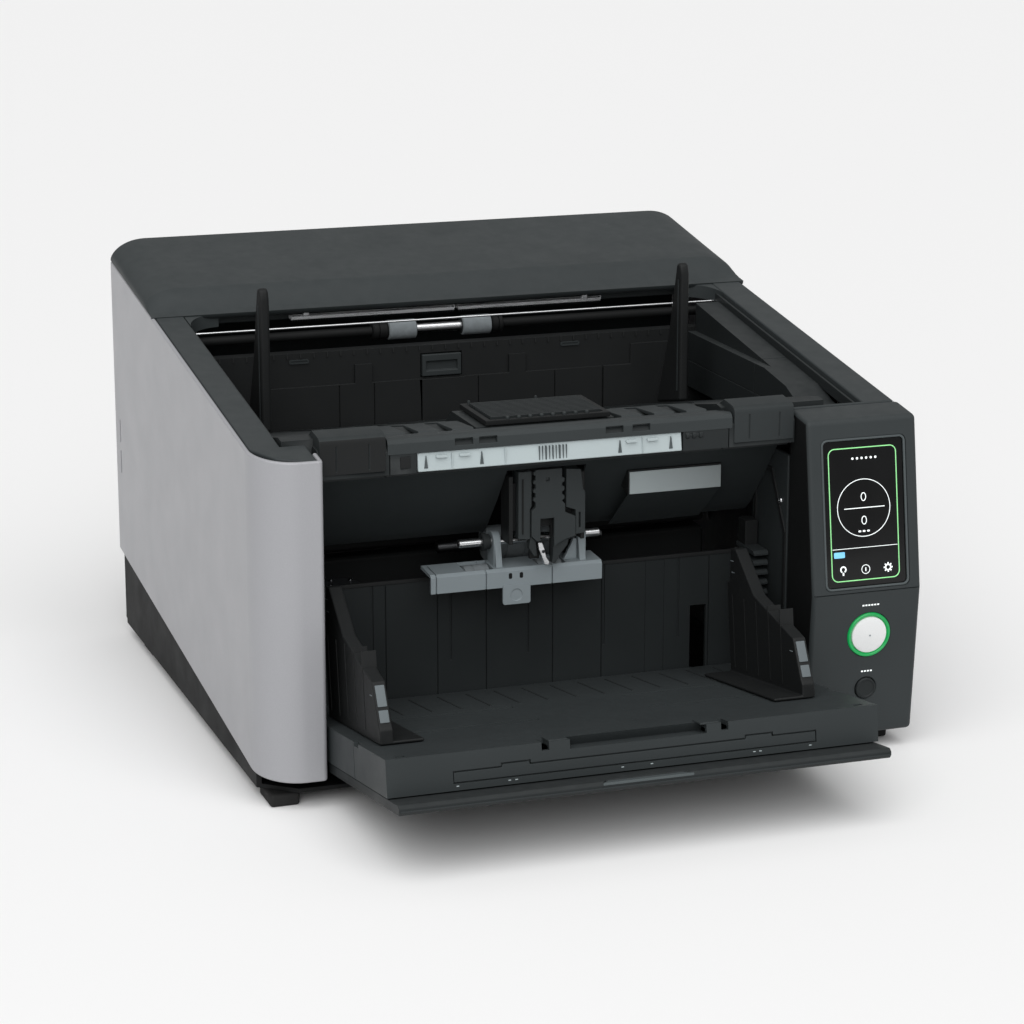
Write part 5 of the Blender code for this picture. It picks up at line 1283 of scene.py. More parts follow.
def stacker_fins(sizes):
    """The two upright side stops: thin blades with a rib down the middle and a foot."""
    for side in ("left", "right"):
        node = f"stacker_fin_{side}"
        first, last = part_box(node)
        base, tip = first.y, last.z
        outline = [(base, stacker_surface(base, 0.0012)), (last.y, stacker_surface(last.y, 0.0012)),
            (base + 0.023, first.z + 0.057), (base + 0.0105, tip - 0.008),
            *arc((base + 0.0055, tip - 0.004), 0.004, 20, 160, 8), (base, tip - 0.008)]
        blade = soften(slab(f"fin_blade_{side}", outline, "X", first.x, last.x), 0.002, 3, 0.6)
        fit(blade, node, CHARCOAL, "black_inner", node)
        rib = slab(f"fin_rib_{side}", [(base + 0.0035, stacker_surface(base, 0.008)),
            (base + 0.0055, stacker_surface(base, 0.008)), (base + 0.005, tip - 0.012),
            (base + 0.0035, tip - 0.012)], "X", first.x - 0.0006, last.x + 0.0006)
        fit(soften(rib, 0.0003), node, CHARCOAL, "charcoal_side")


# Bay

def bay_walls(sizes):
    """The grooved rear wall of the hopper bay, its ledge, the ribbed post and the linings' screws."""
    node = "hopper_back_wall"
    face, top = low(node).y, high(node).z
    start = (face - WALL, low(node).z - WALL)
    cutters = slots((-0.156, -0.12, -0.0831, -0.048, 0.0004, 0.0364, 0.1169), sizes.seam, start,
        (face + 0.0012, top - 0.003))
    cutters += slots((0.069, 0.083), 0.0004, start, (face + 0.0005, top - 0.003))
    wall = soften(carve(copy_of(node, "bay_wall"), *cutters), 0.0007)
    fixed(wall, BLACK, "dark_tray", node)
    lip = slab("bay_wall_lip", [(face - 0.001, top - 0.002), (face + 0.002, top - 0.002),
        (face + 0.002, top + 0.0006), (face - 0.0006, top + 0.0006)], "X", BAY_LEFT + 0.004,
        BAY_RIGHT - 0.004)
    fixed(soften(lip, 0.0004), BLACK, "black_inner")
    post = block("bay_post", (BAY_RIGHT - 0.011, -0.07, 0.095), (BAY_RIGHT - 0.0012, face - HAIR, 0.148))
    fixed(soften(post, 0.001), BLACK, "black_inner")
    rung = slab("bay_post_rungs", [(-0.088, 0.099), (face - HAIR, 0.099), (face - HAIR, 0.1025),
        (-0.086, 0.1025), (-0.088, 0.1008)], "X", BAY_RIGHT - 0.012, BAY_RIGHT - 0.001)
    fixed(row(soften(rung, 0.0004), "charcoal_side", 5, (0, 0, 0.007)), BLACK, None)
    for i, (y, z) in enumerate(((-0.104, 0.17), (-0.068, 0.182), (-0.106, 0.09), (-0.07, 0.05))):
        for name, x, out, finish in (("lining_screw", BAY_RIGHT, -1, "drawn_steel"),
                ("lining_screw_left", BAY_LEFT, 1, "dark_screw")):
            head = screw(f"{name}_{i}", (x, y, z), (out, 0, 0), sizes.screw * 0.8)
            fixed(head, "steel", finish)
    frame_outline = [(-0.114, 0.045), (-0.06, 0.045), (-0.06, 0.19), (-0.09, 0.19), (-0.114, 0.15)]
    hole = [(-0.11, 0.049), (-0.064, 0.049), (-0.064, 0.186), (-0.088, 0.186), (-0.11, 0.148)]
    for side, x, out in (("left", BAY_LEFT, 1), ("right", BAY_RIGHT, -1)):
        edge = sorted((x - out * 0.0004, x + out * 0.0009))
        panel = carve(slab(f"lining_frame_{side}", frame_outline, "X", *edge),
            slab("hole", hole, "X", edge[0] - WALL, edge[1] + WALL))
        fixed(soften(panel, 0.0003), BLACK, "black_inner")


def throat(sizes):
    """The blank label in its backing, and the trapezoid plate below it."""
    left, right, foot, face = 0.0427, 0.1095, 0.18, low("blank_plate").y
    backing = slab("label_backing", [(face + 0.0012, foot - 0.0008), (face + 0.0012, foot + 0.0165),
        (face + 0.016, foot + 0.0165), (face + 0.016, foot + 0.003)], "X", left - 0.0008, right + 0.0008)
    fixed(soften(backing, 0.0004), BLACK, "black_inner")
    plate = soften(block("blank_label", (left, face, foot), (right, face + 0.0012, foot + 0.0155)), 0.0003)
    fixed(plate, "pale_plastic", "blank_sheen", "blank_plate")
    inner = [(left - 0.001, foot - 0.03), (right - 0.001, foot - 0.0285), (right, foot - 0.001),
        (left - 0.0006, foot - 0.001)]
    plate = slab("label_shelf", inner, "Y", 0.0, 0.0016)
    lean = (high("throat_cover").y - low("throat_cover").y) / (high("throat_cover").z - low("throat_cover").z)
    for vertex in plate.data.vertices:
        vertex.co.y += face + 0.0008 + (foot - vertex.co.z) * lean
    fixed(soften(plate, 0.0004), BLACK, "charcoal_side")


# Pick section

def pick_bracket(sizes):
    """The dark bracket: two cheeks, the notched centre plate, its lever, and the claws at its foot."""
    front, back, top = low("pick_bracket").y, high("pick_bracket").y, high("pick_bracket").z
    body = "chassis"
    spine = soften(copy_of("pick_bracket", "bracket_spine"), 0.0005)
    fit(spine, body, CHARCOAL, "black_inner", "pick_bracket")
    steps = [(-0.0272, top)]
    for z in (0.201, 0.195, 0.189, 0.183):
        steps += [(-0.0272, z + 0.0022), (-0.0288, z + 0.0016), (-0.0288, z - 0.0004), (-0.0272, z - 0.001)]
    steps += [(-0.0272, 0.1785), (-0.03, 0.176), (-0.03, 0.1585), (-0.0262, 0.1545), (-0.0236, 0.1545),
        (-0.0236, 0.17), (-0.0139, 0.17), (-0.0139, 0.15), (-0.011, 0.152), (-0.006, 0.1545),
        (0.0014, 0.1562), (0.0014, 0.17), (-0.006, 0.1735), (-0.006, 0.179)]
    for z in (0.184, 0.19, 0.196):
        steps += [(-0.0083, z - 0.0022), (-0.0066, z - 0.0014), (-0.0066, z + 0.0012), (-0.0083, z + 0.002)]
    steps += [(-0.0083, top)]
    plate = slab("bracket_plate", steps, "Y", front - 0.003, front - 0.0002)
    eye = block("eye", (-0.0196, front - 0.01, 0.1958), (-0.0173, front - 0.0015, 0.1981))
    fit(soften(carve(plate, eye), 0.0005), body, CHARCOAL, "charcoal_cover")
    left = slab("bracket_cheek_left", [(-0.0388, 0.1565), (-0.0302, 0.156), (-0.0302, 0.177),
        (-0.0292, 0.179), (-0.0292, top - 0.001), (-0.0388, top - 0.001)], "Y", front - 0.0012, back - 0.004)
    fit(soften(left, 0.0007), body, CHARCOAL, "charcoal_cover")
    line = block("bracket_line_left", (-0.0362, front - 0.002, 0.16), (-0.0352, front - 0.001, top - 0.006))
    fit(soften(line, 0.0002), body, CHARCOAL, "black_inner")
    right = slab("bracket_cheek_right", [(0.0018, 0.157), (0.0088, 0.1575), (0.0088, 0.186),
        (0.0072, 0.188), (0.0056, top - 0.002), (-0.005, top - 0.001), (-0.005, 0.1765), (0.0018, 0.174)],
        "Y", front - 0.0018, back - 0.004)
    slot = block("slot", (0.0042, front - 0.01, 0.1612), (0.0054, front + 0.001, 0.1722))
    fit(soften(carve(right, slot), 0.0007), body, CHARCOAL, "charcoal_cover")
    left_claw = [(-0.03, 0.1585), (-0.0262, 0.1545), (-0.0252, 0.144), (-0.0275, 0.144), (-0.0312, 0.15)]
    right_claw = [(-0.0139, 0.1545), (-0.002, 0.156), (-0.0035, 0.15), (-0.0085, 0.144), (-0.0122, 0.1375),
        (-0.0148, 0.1382), (-0.0139, 0.144)]
    claws = [slab("claw", claw, "Y", front - 0.001, front + 0.005) for claw in (left_claw, right_claw)]
    fit(soften(gather("bracket_claws", claws), 0.0006), body, CHARCOAL, "charcoal_side")
    lever = slab("pick_lever", [(-0.0252, 0.1535), (-0.0222, 0.1535), (-0.0206, 0.149), (-0.0192, 0.143),
        (-0.0168, 0.1395), (-0.0176, 0.1372), (-0.0204, 0.1378), (-0.0226, 0.144), (-0.0246, 0.149)],
        "Y", front - 0.0024, front + 0.0012)
    fit(soften(lever, 0.0006), body, "steel", "drawn_steel")
    fit(screw("pick_lever_screw", (-0.0214, front - 0.0022, 0.1472), (0, -1, 0), 0.0011), body,
        "steel", "dark_screw")


def pick_arm(sizes):
    """The slate plate in three pieces with its tab and holes, and the ears that hang it on the shaft."""
    first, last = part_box("pick_arm")
    arm = copy_of("pick_arm", "pick_plate")
    front, under, top = first.y, 0.122, 0.135
    cutters = []
    for x in (-0.0943, -0.0591, -0.012):
        cutters.append(block("split", (x - 0.0005, front - WALL, under - WALL),
            (x + 0.0005, front + 0.0014, top + WALL)))
        cutters.append(block("split", (x - 0.0005, front + 0.001, top - 0.0008),
            (x + 0.0005, front + 0.0225, top + WALL)))
    cutters.append(block("tab", (first.x - WALL, front - WALL, first.z - WALL),
        (last.x + WALL, front + 0.01, under)))
    fit(soften(carve(arm, *cutters), 0.0006, 2), "pick_arm", "slate_plastic", "slate_plate", "pick_arm")
    tab = slab("pick_tab", rounded_box(-0.0475, first.z, -0.0278, under + 0.002, 0.0016, 4), "Y",
        front - 0.001, front + 0.001)
    scoop = turned("scoop", (-0.0378, front - 0.003, 0.1165), (0, 1, 0), [(0, 0.0048), (0.0026, 0.004)], 28)
    fit(soften(carve(tab, scoop), 0.0004), "pick_arm", "slate_plastic", "slate_plate")
    # The holes are deep black blocks on the plate, not cut: painted shade in the holes.
    holes = []
    for x in (-0.0419, -0.0341):
        holes.append(slab("hole", rounded_box(x - 0.0012, 0.1278, x + 0.0012, 0.1318, 0.0009, 4), "Y",
            front - 0.00015, front + 0.001))
        holes.append(block("hole", (x - 0.0009, front + 0.005, top - 0.001),
            (x + 0.0009, front + 0.0072, top + 0.00012)))
    fit(gather("pick_plate_holes", holes), "pick_arm", "slate_plastic", "deep_black")
    shaft_y, shaft_z = -0.0741, 0.151
    for side, x in (("left", -0.0505), ("right", 0.0094)):
        outline = [(shaft_y - 0.011, top - 0.001), (shaft_y + 0.007, top - 0.001),
            *arc((shaft_y, shaft_z), 0.007, 0, 160, 10)]
        ear = slab(f"pick_ear_{side}", outline, "X", x, x + 0.0046)
        bore = rod("bore", (x - WALL, shaft_y, shaft_z), (x + 2 * WALL, shaft_y, shaft_z), 0.0034, 20)
        fit(soften(carve(ear, bore), 0.0005), "pick_arm", "slate_plastic", "slate_plate")
    fin = slab("pick_fin", [(-0.001, top - 0.0005), (0.009, top - 0.0005), (0.009, 0.149), (0.0066, 0.15),
        (0.005, 0.146)], "Y", -0.08, -0.077)
    fit(soften(fin, 0.0005), "pick_arm", "slate_plastic", "slate_plate")


def pick_shaft(sizes):
    """The pick shaft, its dark discs, and the two soft rollers."""
    first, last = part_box("pick_shaft")
    y, z = axis_of("pick_shaft")
    fixed(rod("pick_rod", (first.x, y, z), (last.x, y, z), 0.003, 28), "steel",
        "drawn_steel", "pick_shaft")
    for i, (x, wide, radius) in enumerate(((-0.058, 0.006, 0.0062), (0.015, 0.0016, 0.0048))):
        profile = [(0, 0.0034), (0, radius - 0.0006), (0.0005, radius), (wide * 0.5, radius),
            (wide * 0.5 + 0.0003, radius - 0.001), (wide - 0.0004, radius - 0.001), (wide, radius - 0.0016),
            (wide, 0.0034)]
        fixed(turned(f"pick_collar_{i}", (x, y, z), ACROSS, profile, 40),
            BLACK, "dark_tray")
    near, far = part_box("pick_roller")
    y, z = axis_of("pick_roller")
    tyre = 0.018
    profile = [(0, 0.0018), (0, 0.0025)]
    for start in (0.0, far.x - near.x - tyre):
        profile += [(start, 0.006), (start + 0.0006, 0.0085), (start + 0.006, 0.0085),
            (start + 0.0063, 0.008), (start + 0.0069, 0.008), (start + 0.0072, 0.0085),
            (start + tyre - 0.0006, 0.0085), (start + tyre, 0.006), (start + tyre, 0.0025)]
    profile += [(far.x - near.x, 0.0018)]
    fit(turned("pick_tyres", (near.x, y, z), ACROSS, profile[1:-1], 56), "pick_roller",
        "roller_rubber", "grey_tyre", "pick_roller")


# Hopper

def hopper_tray(sizes):
    """The tray with its side seams, hooks, finger notches, guide slots and the long flap at its front."""
    left, right = BAY_LEFT + 0.002, BAY_RIGHT - 0.002
    end, skirt = HOPPER_LENGTH, HOPPER_SKIRT
    cutters = [block("notch", (x, end - 0.012, -0.0052), (x + 0.005, end + WALL, WALL))
        for x in (-0.0828, 0.0379)]
    cutters.append(block("flap_gap", (-0.1412, end - 0.002, -0.0197), (0.1035, end + WALL, -0.0117)))
    cutters += [block("flap_tab_gap", (x, end - 0.002, -0.013), (x + 0.0196, end + WALL, -0.0097))
        for x in (-0.1099, 0.0538)]
    for x, out in ((left, 1), (right, -1)):
        for u in (0.1365, 0.07):
            cutters.append(block("side_seam", (x - 0.0006, u - 0.0004, -skirt - WALL),
                (x + 0.0006, u + 0.0004, WALL)))
        cutters.append(block("hook", (x - 0.003, 0.138, -0.0026), (x + 0.003, 0.148, WALL)))
        cutters.append(block("corner_hook", (x + out * 0.011 - 0.003, end - 0.009, -0.0022),
            (x + out * 0.011 + 0.003, end - 0.004, WALL)))
    cutters += [block("guide_slot", (x, u - 0.0022, -0.0012), (x + 0.113, u + 0.0022, WALL))
        for u in (0.078, 0.13) for x in (-0.17, 0.02)]
    tray = carve(copy_of("hopper_tray", "hopper_shell"), *[moved(cutter, HOPPER) for cutter in cutters])
    fit(soften(tray, 0.001, 3), "hopper", CHARCOAL, "hopper_plastic", "hopper_tray")
    flap = [(-0.1406, -0.0189), (0.1029, -0.0189), (0.1029, -0.0128), (0.0728, -0.0128), (0.0722, -0.0108),
        (0.055, -0.0108), (0.0544, -0.0128), (-0.0909, -0.0128), (-0.0915, -0.0108), (-0.1087, -0.0108),
        (-0.1093, -0.0128), (-0.1406, -0.0128)]
    cover = slab("hopper_flap", flap, "Y", end - 0.0008, end - 0.0001)
    fit(soften(moved(cover, HOPPER), 0.0003), "hopper", CHARCOAL, "hopper_plastic")
    ledges = [block("ledge", (x, end - 0.014, -0.0004), (x + 0.0125, end - 0.0004, 0.0009))
        for x in (-0.078, 0.024)]
    fit(soften(moved(gather("hopper_pads", ledges), HOPPER), 0.0004), "hopper",
        CHARCOAL, "hopper_plastic")
    # Small pale blocks at the foot of the front face: painted glints of small pins.
    pin_glints = [block("mark", (x, end - 0.0003, -0.0216), (x + 0.0017, end + 0.0001, -0.021))
        for x in (-0.1393, -0.1055, -0.101, -0.0306, -0.0109, 0.0592, 0.0634, 0.0981)]
    fit(moved(gather("hopper_pin_glints", pin_glints), HOPPER), "hopper", CHARCOAL, "pale_bar")
    rib = block("hopper_floor_ribs", (-0.15, 0.012, -0.0003), (-0.1484, 0.066, 0.0004))
    fit(row(moved(soften(rib, 0.0002), HOPPER), "dark_tray", 14, (0.0203, 0, 0)), "hopper",
        CHARCOAL, None)


def hopper_extension(sizes):
    """The pull-out plate with its rounded edge and the hand recess at its middle, with a painted highlight on
    the grip and a painted reflection along the lower front edge.
    """
    left, right = low("hopper_extension").x, high("hopper_extension").x
    top, end = -HOPPER_SKIRT - HAIR, 0.229
    plate = copy_of("hopper_extension", "extension_plate")
    scoop = slab("scoop", [(-0.0517, end + 0.001), (0.0107, end + 0.001), (0.005, end - 0.0058),
        (-0.047, end - 0.0058)], "Z", top - 0.0018, top + WALL)
    plate = soften(carve(plate, moved(scoop, HOPPER)), 0.0012, 3)
    fit(plate, "hopper_extension", CHARCOAL, "dark_tray", "hopper_extension")
    # The grip takes a lighter charcoal than the plate: painted highlight where its sloped face catches light.
    grip = slab("extension_grip", [(-0.051, end + 0.0003), (0.01, end + 0.0003), (0.004, end - 0.0056),
        (-0.046, end - 0.0056)], "Z", top - 0.003, top - 0.0012)
    fit(soften(moved(grip, HOPPER), 0.0004), "hopper_extension", CHARCOAL, "highlight_and_print_grey")
    # A lighter strip along the lower front edge: painted reflection of the floor.
    edge = block("extension_reflection_line", (left + 0.001, end - 0.0006, top - 0.0052),
        (right - 0.001, end + 0.0005, top - 0.0042))
    fit(soften(moved(edge, HOPPER), 0.0003), "hopper_extension", CHARCOAL, "charcoal_side")


def hopper_guides(sizes):
    """The side guides with their slate front strips, catches and fine level lines."""
    end = 0.164
    for side in ("left", "right"):
        node = f"hopper_guide_{side}"
        inner = -0.165 if side == "left" else 0.1145
        outer = inner - 0.009 if side == "left" else inner + 0.009
        plate = copy_of(node, f"guide_plate_{side}")
        near, far = min(inner, outer), max(inner, outer)
        fit(soften(plate, 0.0011, 3), node, CHARCOAL, "black_inner", node)
        rise, run = 0.026, -0.01
        for i, (a, b) in enumerate(((0.05, 0.34), (0.42, 0.92))):
            start = (end - 0.002 + run * a, 0.013 + rise * a)
            stop = (end - 0.002 + run * b, 0.013 + rise * b)
            strip = slab(f"guide_strip_{side}_{i}",
                [(start[0] - 0.0006, start[1]), (start[0] + 0.0007, start[1]), (stop[0] + 0.0007, stop[1]),
                (stop[0] - 0.0006, stop[1])], "X", near + 0.0014, far - 0.0014)
            fit(soften(moved(strip, HOPPER), 0.0004), node, CHARCOAL, "strip_plastic")
        catch = block(f"guide_catches_{side}", (near + 0.001, 0.062, 0.064), (far - 0.001, 0.069, 0.0662))
        fit(soften(moved(catch, HOPPER), 0.0006), node, CHARCOAL, "charcoal_side")
        lines = [block("line", (near - 0.0001, u, w), (far + 0.0001, u + 0.005, w + 0.0005))
            for u, w in ((0.052, 0.08), (0.053, 0.072), (0.146, 0.03))]
        fit(moved(gather(f"guide_lines_{side}", lines), HOPPER), node, CHARCOAL, "slate_plate")
        rib = block(f"guide_ribs_{side}", (near - 0.0004, 0.052, 0.006), (far + 0.0004, 0.053, 0.056))
        fit(row(moved(soften(rib, 0.0002), HOPPER), "black_inner", 5,
            tuple(HOPPER.to_3x3() @ Vector((0, 0.02, 0)))), node, CHARCOAL, None)


def lift_screw(sizes):
    """The lifting screw with raised rings for a thread, and its motor."""
    first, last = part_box("lift_screw")
    x, y = (first.x + last.x) / 2, (first.y + last.y) / 2
    pitch = 0.004
    turns = int((last.z - first.z - 0.012) / pitch)
    profile = [(0, 0.003), (0.0005, 0.0036), (0.005, 0.0036)]
    for i in range(turns):
        start = 0.0056 + i * pitch
        profile += [(start, 0.003), (start + 0.0012, 0.004), (start + 0.002, 0.004), (start + 0.0032, 0.003)]
    profile += [(last.z - first.z - 0.001, 0.003), (last.z - first.z, 0.0024)]
    fit(turned("lift_thread", (x, y, first.z), (0, 0, 1), profile, 28), "lift_screw", "steel",
        "drawn_steel", "lift_screw")
    near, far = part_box("lift_motor")
    motor("lift_drive", "lift_motor", ((near.x + far.x) / 2, (near.y + far.y) / 2, near.z), (0, 0, 1),
        (far.x - near.x) / 2, far.z - near.z)


def motor(name, node, start, out, radius, length):
    """A can motor with pressed ends, a waist line and its terminals."""
    profile = [(0, radius - 0.003), (0, radius - 0.0012), (0.0012, radius), (length * 0.3, radius),
        (length * 0.3 + 0.0004, radius - 0.0005), (length * 0.3 + 0.0012, radius - 0.0005),
        (length * 0.3 + 0.0016, radius), (length - 0.0012, radius), (length, radius - 0.0012),
        (length, radius - 0.003)]
    fixed(turned(name, start, out, profile, 56), "motor_case", "motor_paint", node)
    turn = Vector((0, 0, 1)).rotation_difference(Vector(out)).to_matrix().to_4x4()
    for i in range(4):
        place = Vector((radius * 0.66 * cos(tau * i / 4 + 0.5), radius * 0.66 * sin(tau * i / 4 + 0.5),
            length))
        fixed(screw(f"{name}_screw_{i}", Vector(start) + turn @ place, out, 0.0016),
            "motor_case", "dark_screw")


# Inside and rear

def rollers(sizes):
    """The turned rollers: tyres with chamfered ends and ground grooves on their bright shafts."""
    thin, middle_tyre = 0.004, (-0.044, 0.008)
    for node, piece, finish, radius, tyre in (("feed_roller", "feed_tyres", "grey_tyre", 0.012, middle_tyre),
            ("separator_roller", "separator_tyres", "grey_tyre", 0.01, middle_tyre),
            ("turn_roller", "turn_drum", "black_tyre", 0.028, (BAY_LEFT + 0.025, BAY_RIGHT - 0.025))):
        first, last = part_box(node)
        y, z = axis_of(node)
        profile = [(0, thin - 0.0006), (0.0006, thin)]
        if node == "turn_roller":
            profile = [(0, 0.0052), (0, 0.016), (0.0006, 0.0172), (0.0012, 0.016), (0.01, 0.016),
                (0.0106, 0.0172), (0.0112, 0.016), (0.0112, thin)]
        place, count = tyre[0] - first.x, 4 if node != "turn_roller" else 12
        profile += [(place, thin), (place, radius - 0.001), (place + 0.0008, radius)]
        pitch = (tyre[1] - tyre[0]) / count
        for i in range(1, count):
            groove = place + i * pitch
            profile += [(groove - 0.0006, radius), (groove - 0.0004, radius - 0.0007),
                (groove + 0.0004, radius - 0.0007), (groove + 0.0006, radius)]
        place = tyre[1] - first.x
        profile += [(place - 0.0008, radius), (place, radius - 0.001), (place, thin),
            (last.x - first.x - 0.0006, thin), (last.x - first.x, thin - 0.0006)]
        drum = turned(piece, (first.x, y, z), ACROSS, profile, 56)
        slot = "roller_rubber" if node != "turn_roller" else "black_roller"
        fit(drum, node, slot, finish, node)
        paint_faces(drum, "drawn_steel" if node == "turn_roller" else "dark_screw",
            lambda middle, normal: Vector((0, middle.y - y, middle.z - z)).length < thin + 0.0002)


def drive(sizes):
    """The drive motor, its toothed pulley and the teeth inside the belt."""
    first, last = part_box("drive_motor")
    centre = (first + last) / 2
    motor("drive_can", "drive_motor", (first.x, centre.y, centre.z), ACROSS, (last.y - first.y) / 2,
        last.x - first.x)
    near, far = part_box("motor_pulley")
    y, z = axis_of("motor_pulley")
    outline = [(0, 0.003), (0, 0.008), (0.0006, 0.008), (0.0006, 0.0071), (0.0072, 0.0071), (0.0072, 0.008),
        (0.0078, 0.008), (0.0078, 0.003), (far.x - near.x, 0.003), (far.x - near.x, 0.0012)]
    fit(turned("pulley", (near.x, y, z), ACROSS, outline, 40), "motor_pulley", "steel",
        "drawn_steel", "motor_pulley")
    tooth = block("pulley_teeth", (0.001, 0.0069, -0.0004), (0.0068, 0.0077, 0.0004))
    teeth = ring(tooth, "plate_steel", 20, (tau / 20, 0, 0), (near.x, y, z))
    fit(teeth, "motor_pulley", "steel", None)


def sensors(sizes):
    """The glass strips of the two image sensors."""
    for side, edge in (("upper", low("image_sensor_upper").z), ("lower", high("image_sensor_lower").z)):
        first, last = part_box(f"image_sensor_{side}")
        middle = (first.y + last.y) / 2
        glass = block(f"sensor_glass_{side}", (first.x + 0.012, middle - 0.009, edge - 0.0006),
            (last.x - 0.012, middle + 0.009, edge + 0.0006))
        fixed(soften(glass, 0.0003), BLACK, "screen_glass")


def electronics(sizes):
    """Chips, capacitors and connectors on the board, and the vents and terminals of the power supply."""
    face = low("main_board").y
    for i, (x, z, wide, tall, deep) in enumerate(((-0.13, 0.07, 0.02, 0.02, 0.0022),
            (-0.09, 0.12, 0.016, 0.012, 0.0018), (-0.05, 0.08, 0.012, 0.018, 0.0018),
            (-0.015, 0.13, 0.014, 0.014, 0.002))):
        chip = block(f"chip_{i}", (x, face - deep, z), (x + wide, face - 0.0001, z + tall))
        fixed(soften(chip, 0.0004), "circuit_board", "deep_black")
        pin = block(f"chip_pins_{i}", (x + 0.0008, face - 0.0006, z - 0.0012),
            (x + 0.0013, face - 0.0001, z + tall + 0.0012))
        fixed(row(pin, "drawn_steel", int(wide / 0.0012) - 1, (0.0012, 0, 0)), "circuit_board", None)
    can = turned("capacitors", (-0.162, face - 0.0001, 0.14), (0, -1, 0),
        [(0, 0.0028), (0.0004, 0.0032), (0.0008, 0.003), (0.006, 0.0032), (0.0066, 0.0026)], 24)
    fixed(row(can, "motor_paint", 5, (0.009, 0, 0)), "circuit_board", None)
    plug = soften(block("board_plugs", (-0.155, face - 0.006, 0.052), (-0.143, face - 0.0001, 0.058)), 0.0004)
    fixed(row(plug, "pale_bar", 6, (0.024, 0, 0)), "circuit_board", None)
    first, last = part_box("power_supply")
    # The vents are deep black patches on the case, not cut: painted shade in the openings.
    hole = slab("supply_vents", rounded_box(first.x + 0.01, first.y + 0.012, first.x + 0.0125,
        first.y + 0.03, 0.0012, 4), "Z", last.z - 0.0003, last.z + 0.00015)
    fixed(row(hole, "deep_black", 16, (0.008, 0, 0)), "steel", None)
    terminal = screw("supply_terminals", (first.x, first.y + 0.016, first.z + 0.024), (-1, 0, 0), 0.0024)
    fixed(row(terminal, "drawn_steel", 5, (0, 0.0095, 0)), "steel", None)


def rear_details(sizes):
    """The screws, seams and louvres of the rear cover, the contacts in the ports, and the fan's screws."""
    face = high("rear_cover").y
    first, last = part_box("rear_cover")
    for i, (x, z) in enumerate(((first.x + 0.01, first.z + 0.012), (last.x - 0.01, first.z + 0.012),
            (first.x + 0.01, last.z - 0.014), (last.x - 0.01, last.z - 0.014), (0.0, last.z - 0.014),
            (0.0, first.z + 0.012))):
        fixed(screw(f"rear_screw_{i}", (x, face, z), (0, 1, 0), sizes.screw), "steel", "dark_screw")
    seam = [block("seam", (first.x + 0.004, face - 0.0002, z), (last.x - 0.004, face + 0.0004, z + 0.001))
        for z in (0.062, 0.22)]
    fixed(soften(gather("rear_seams", seam), 0.0002), CHARCOAL, "black_inner")
    # The louvres are deep black patches on the cover, not cut: painted shade in the openings.
    slot = slab("rear_louvres", rounded_box(-0.18, 0.24, -0.177, 0.258, 0.0014, 5), "Y", face - 0.0004,
        face + 0.00015)
    fixed(row(slot, "deep_black", sizes.vent_ribs * 2, (0.0075, 0, 0)), CHARCOAL, None)
    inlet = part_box("power_inlet")
    middle = (inlet[0] + inlet[1]) / 2
    for i, (x, z) in enumerate(((-0.0065, -0.002), (0.0065, -0.002), (0.0, 0.003))):
        pin = soften(block(f"inlet_pin_{i}", (middle.x + x - 0.001, inlet[0].y + 0.0012,
            middle.z + z - 0.0025), (middle.x + x + 0.001, inlet[1].y - 0.0015,
            middle.z + z + 0.0025)), 0.0003)
        fixed(pin, "steel", "drawn_steel")
    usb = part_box("usb_port")
    middle = (usb[0] + usb[1]) / 2
    tongue = block("usb_tongue", (middle.x - 0.0028, usb[0].y + 0.0012, middle.z - 0.0016),
        (middle.x + 0.0028, usb[1].y - 0.001, middle.z + 0.0016))
    fixed(soften(tongue, 0.0003), BLACK, "button_face")
    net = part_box("network_port")
    wire_pin = block("network_pins", (net[0].x + 0.0034, net[0].y + 0.0012, net[1].z - 0.004),
        (net[0].x + 0.0038, net[1].y - 0.0012, net[1].z - 0.003))
    fixed(row(wire_pin, "drawn_steel", 8, (0.0012, 0, 0)), "steel", None)
    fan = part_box("fan_frame")
    middle = (fan[0] + fan[1]) / 2
    for i, (x, z) in enumerate(((1, 1), (1, -1), (-1, 1), (-1, -1))):
        fixed(screw(f"fan_screw_{i}", (middle.x + x * 0.0255, fan[0].y, middle.z + z * 0.0255),
            (0, -1, 0), 0.0022), "steel", "dark_screw")
    hoop = turned("fan_label", (middle.x, fan[0].y + 0.0026, middle.z), (0, -1, 0),
        [(0, 0.0094), (0.0006, 0.009)], 40)
    fit(hoop, "fan_rotor", BLACK, "pale_bar")


def frame_details(sizes):
    """The corner screws of the two inner side frames."""
    for side in ("left", "right"):
        first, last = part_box(f"frame_{side}")
        out = -1 if side == "left" else 1
        x = first.x if out < 0 else last.x
        corners = [(y, z) for z in (first.z + 0.012, last.z - 0.012)
            for y in (first.y + 0.012, last.y - 0.012)]
        for i, (y, z) in enumerate(corners):
            fixed(screw(f"frame_screw_{side}_{i}", (x, y, z), (out, 0, 0), sizes.screw),
                "steel", "dark_screw")


def base_details(sizes):
    """The louvres under the base."""
    under = low("base_pan").z
    # The louvres are deep black patches under the base, not cut: painted shade in the openings.
    slot = slab("base_louvres", rounded_box(-0.15, -0.02, -0.1476, 0.06, 0.0011, 4), "Z",
        under - 0.00015, under + 0.0004)
    fixed(row(slot, "deep_black", 24, (0.008, 0, 0)), CHARCOAL, None)


# Operators: one for each group of pieces

class SCANNER_OT_stage(bpy.types.Operator):
    """Sets up the floor, the lamps and the camera"""
    bl_idname = "scanner.stage"
    bl_label = "Stage"

    def execute(self, context):
        stage(context.scene.scanner_stage)
        return {"FINISHED"}


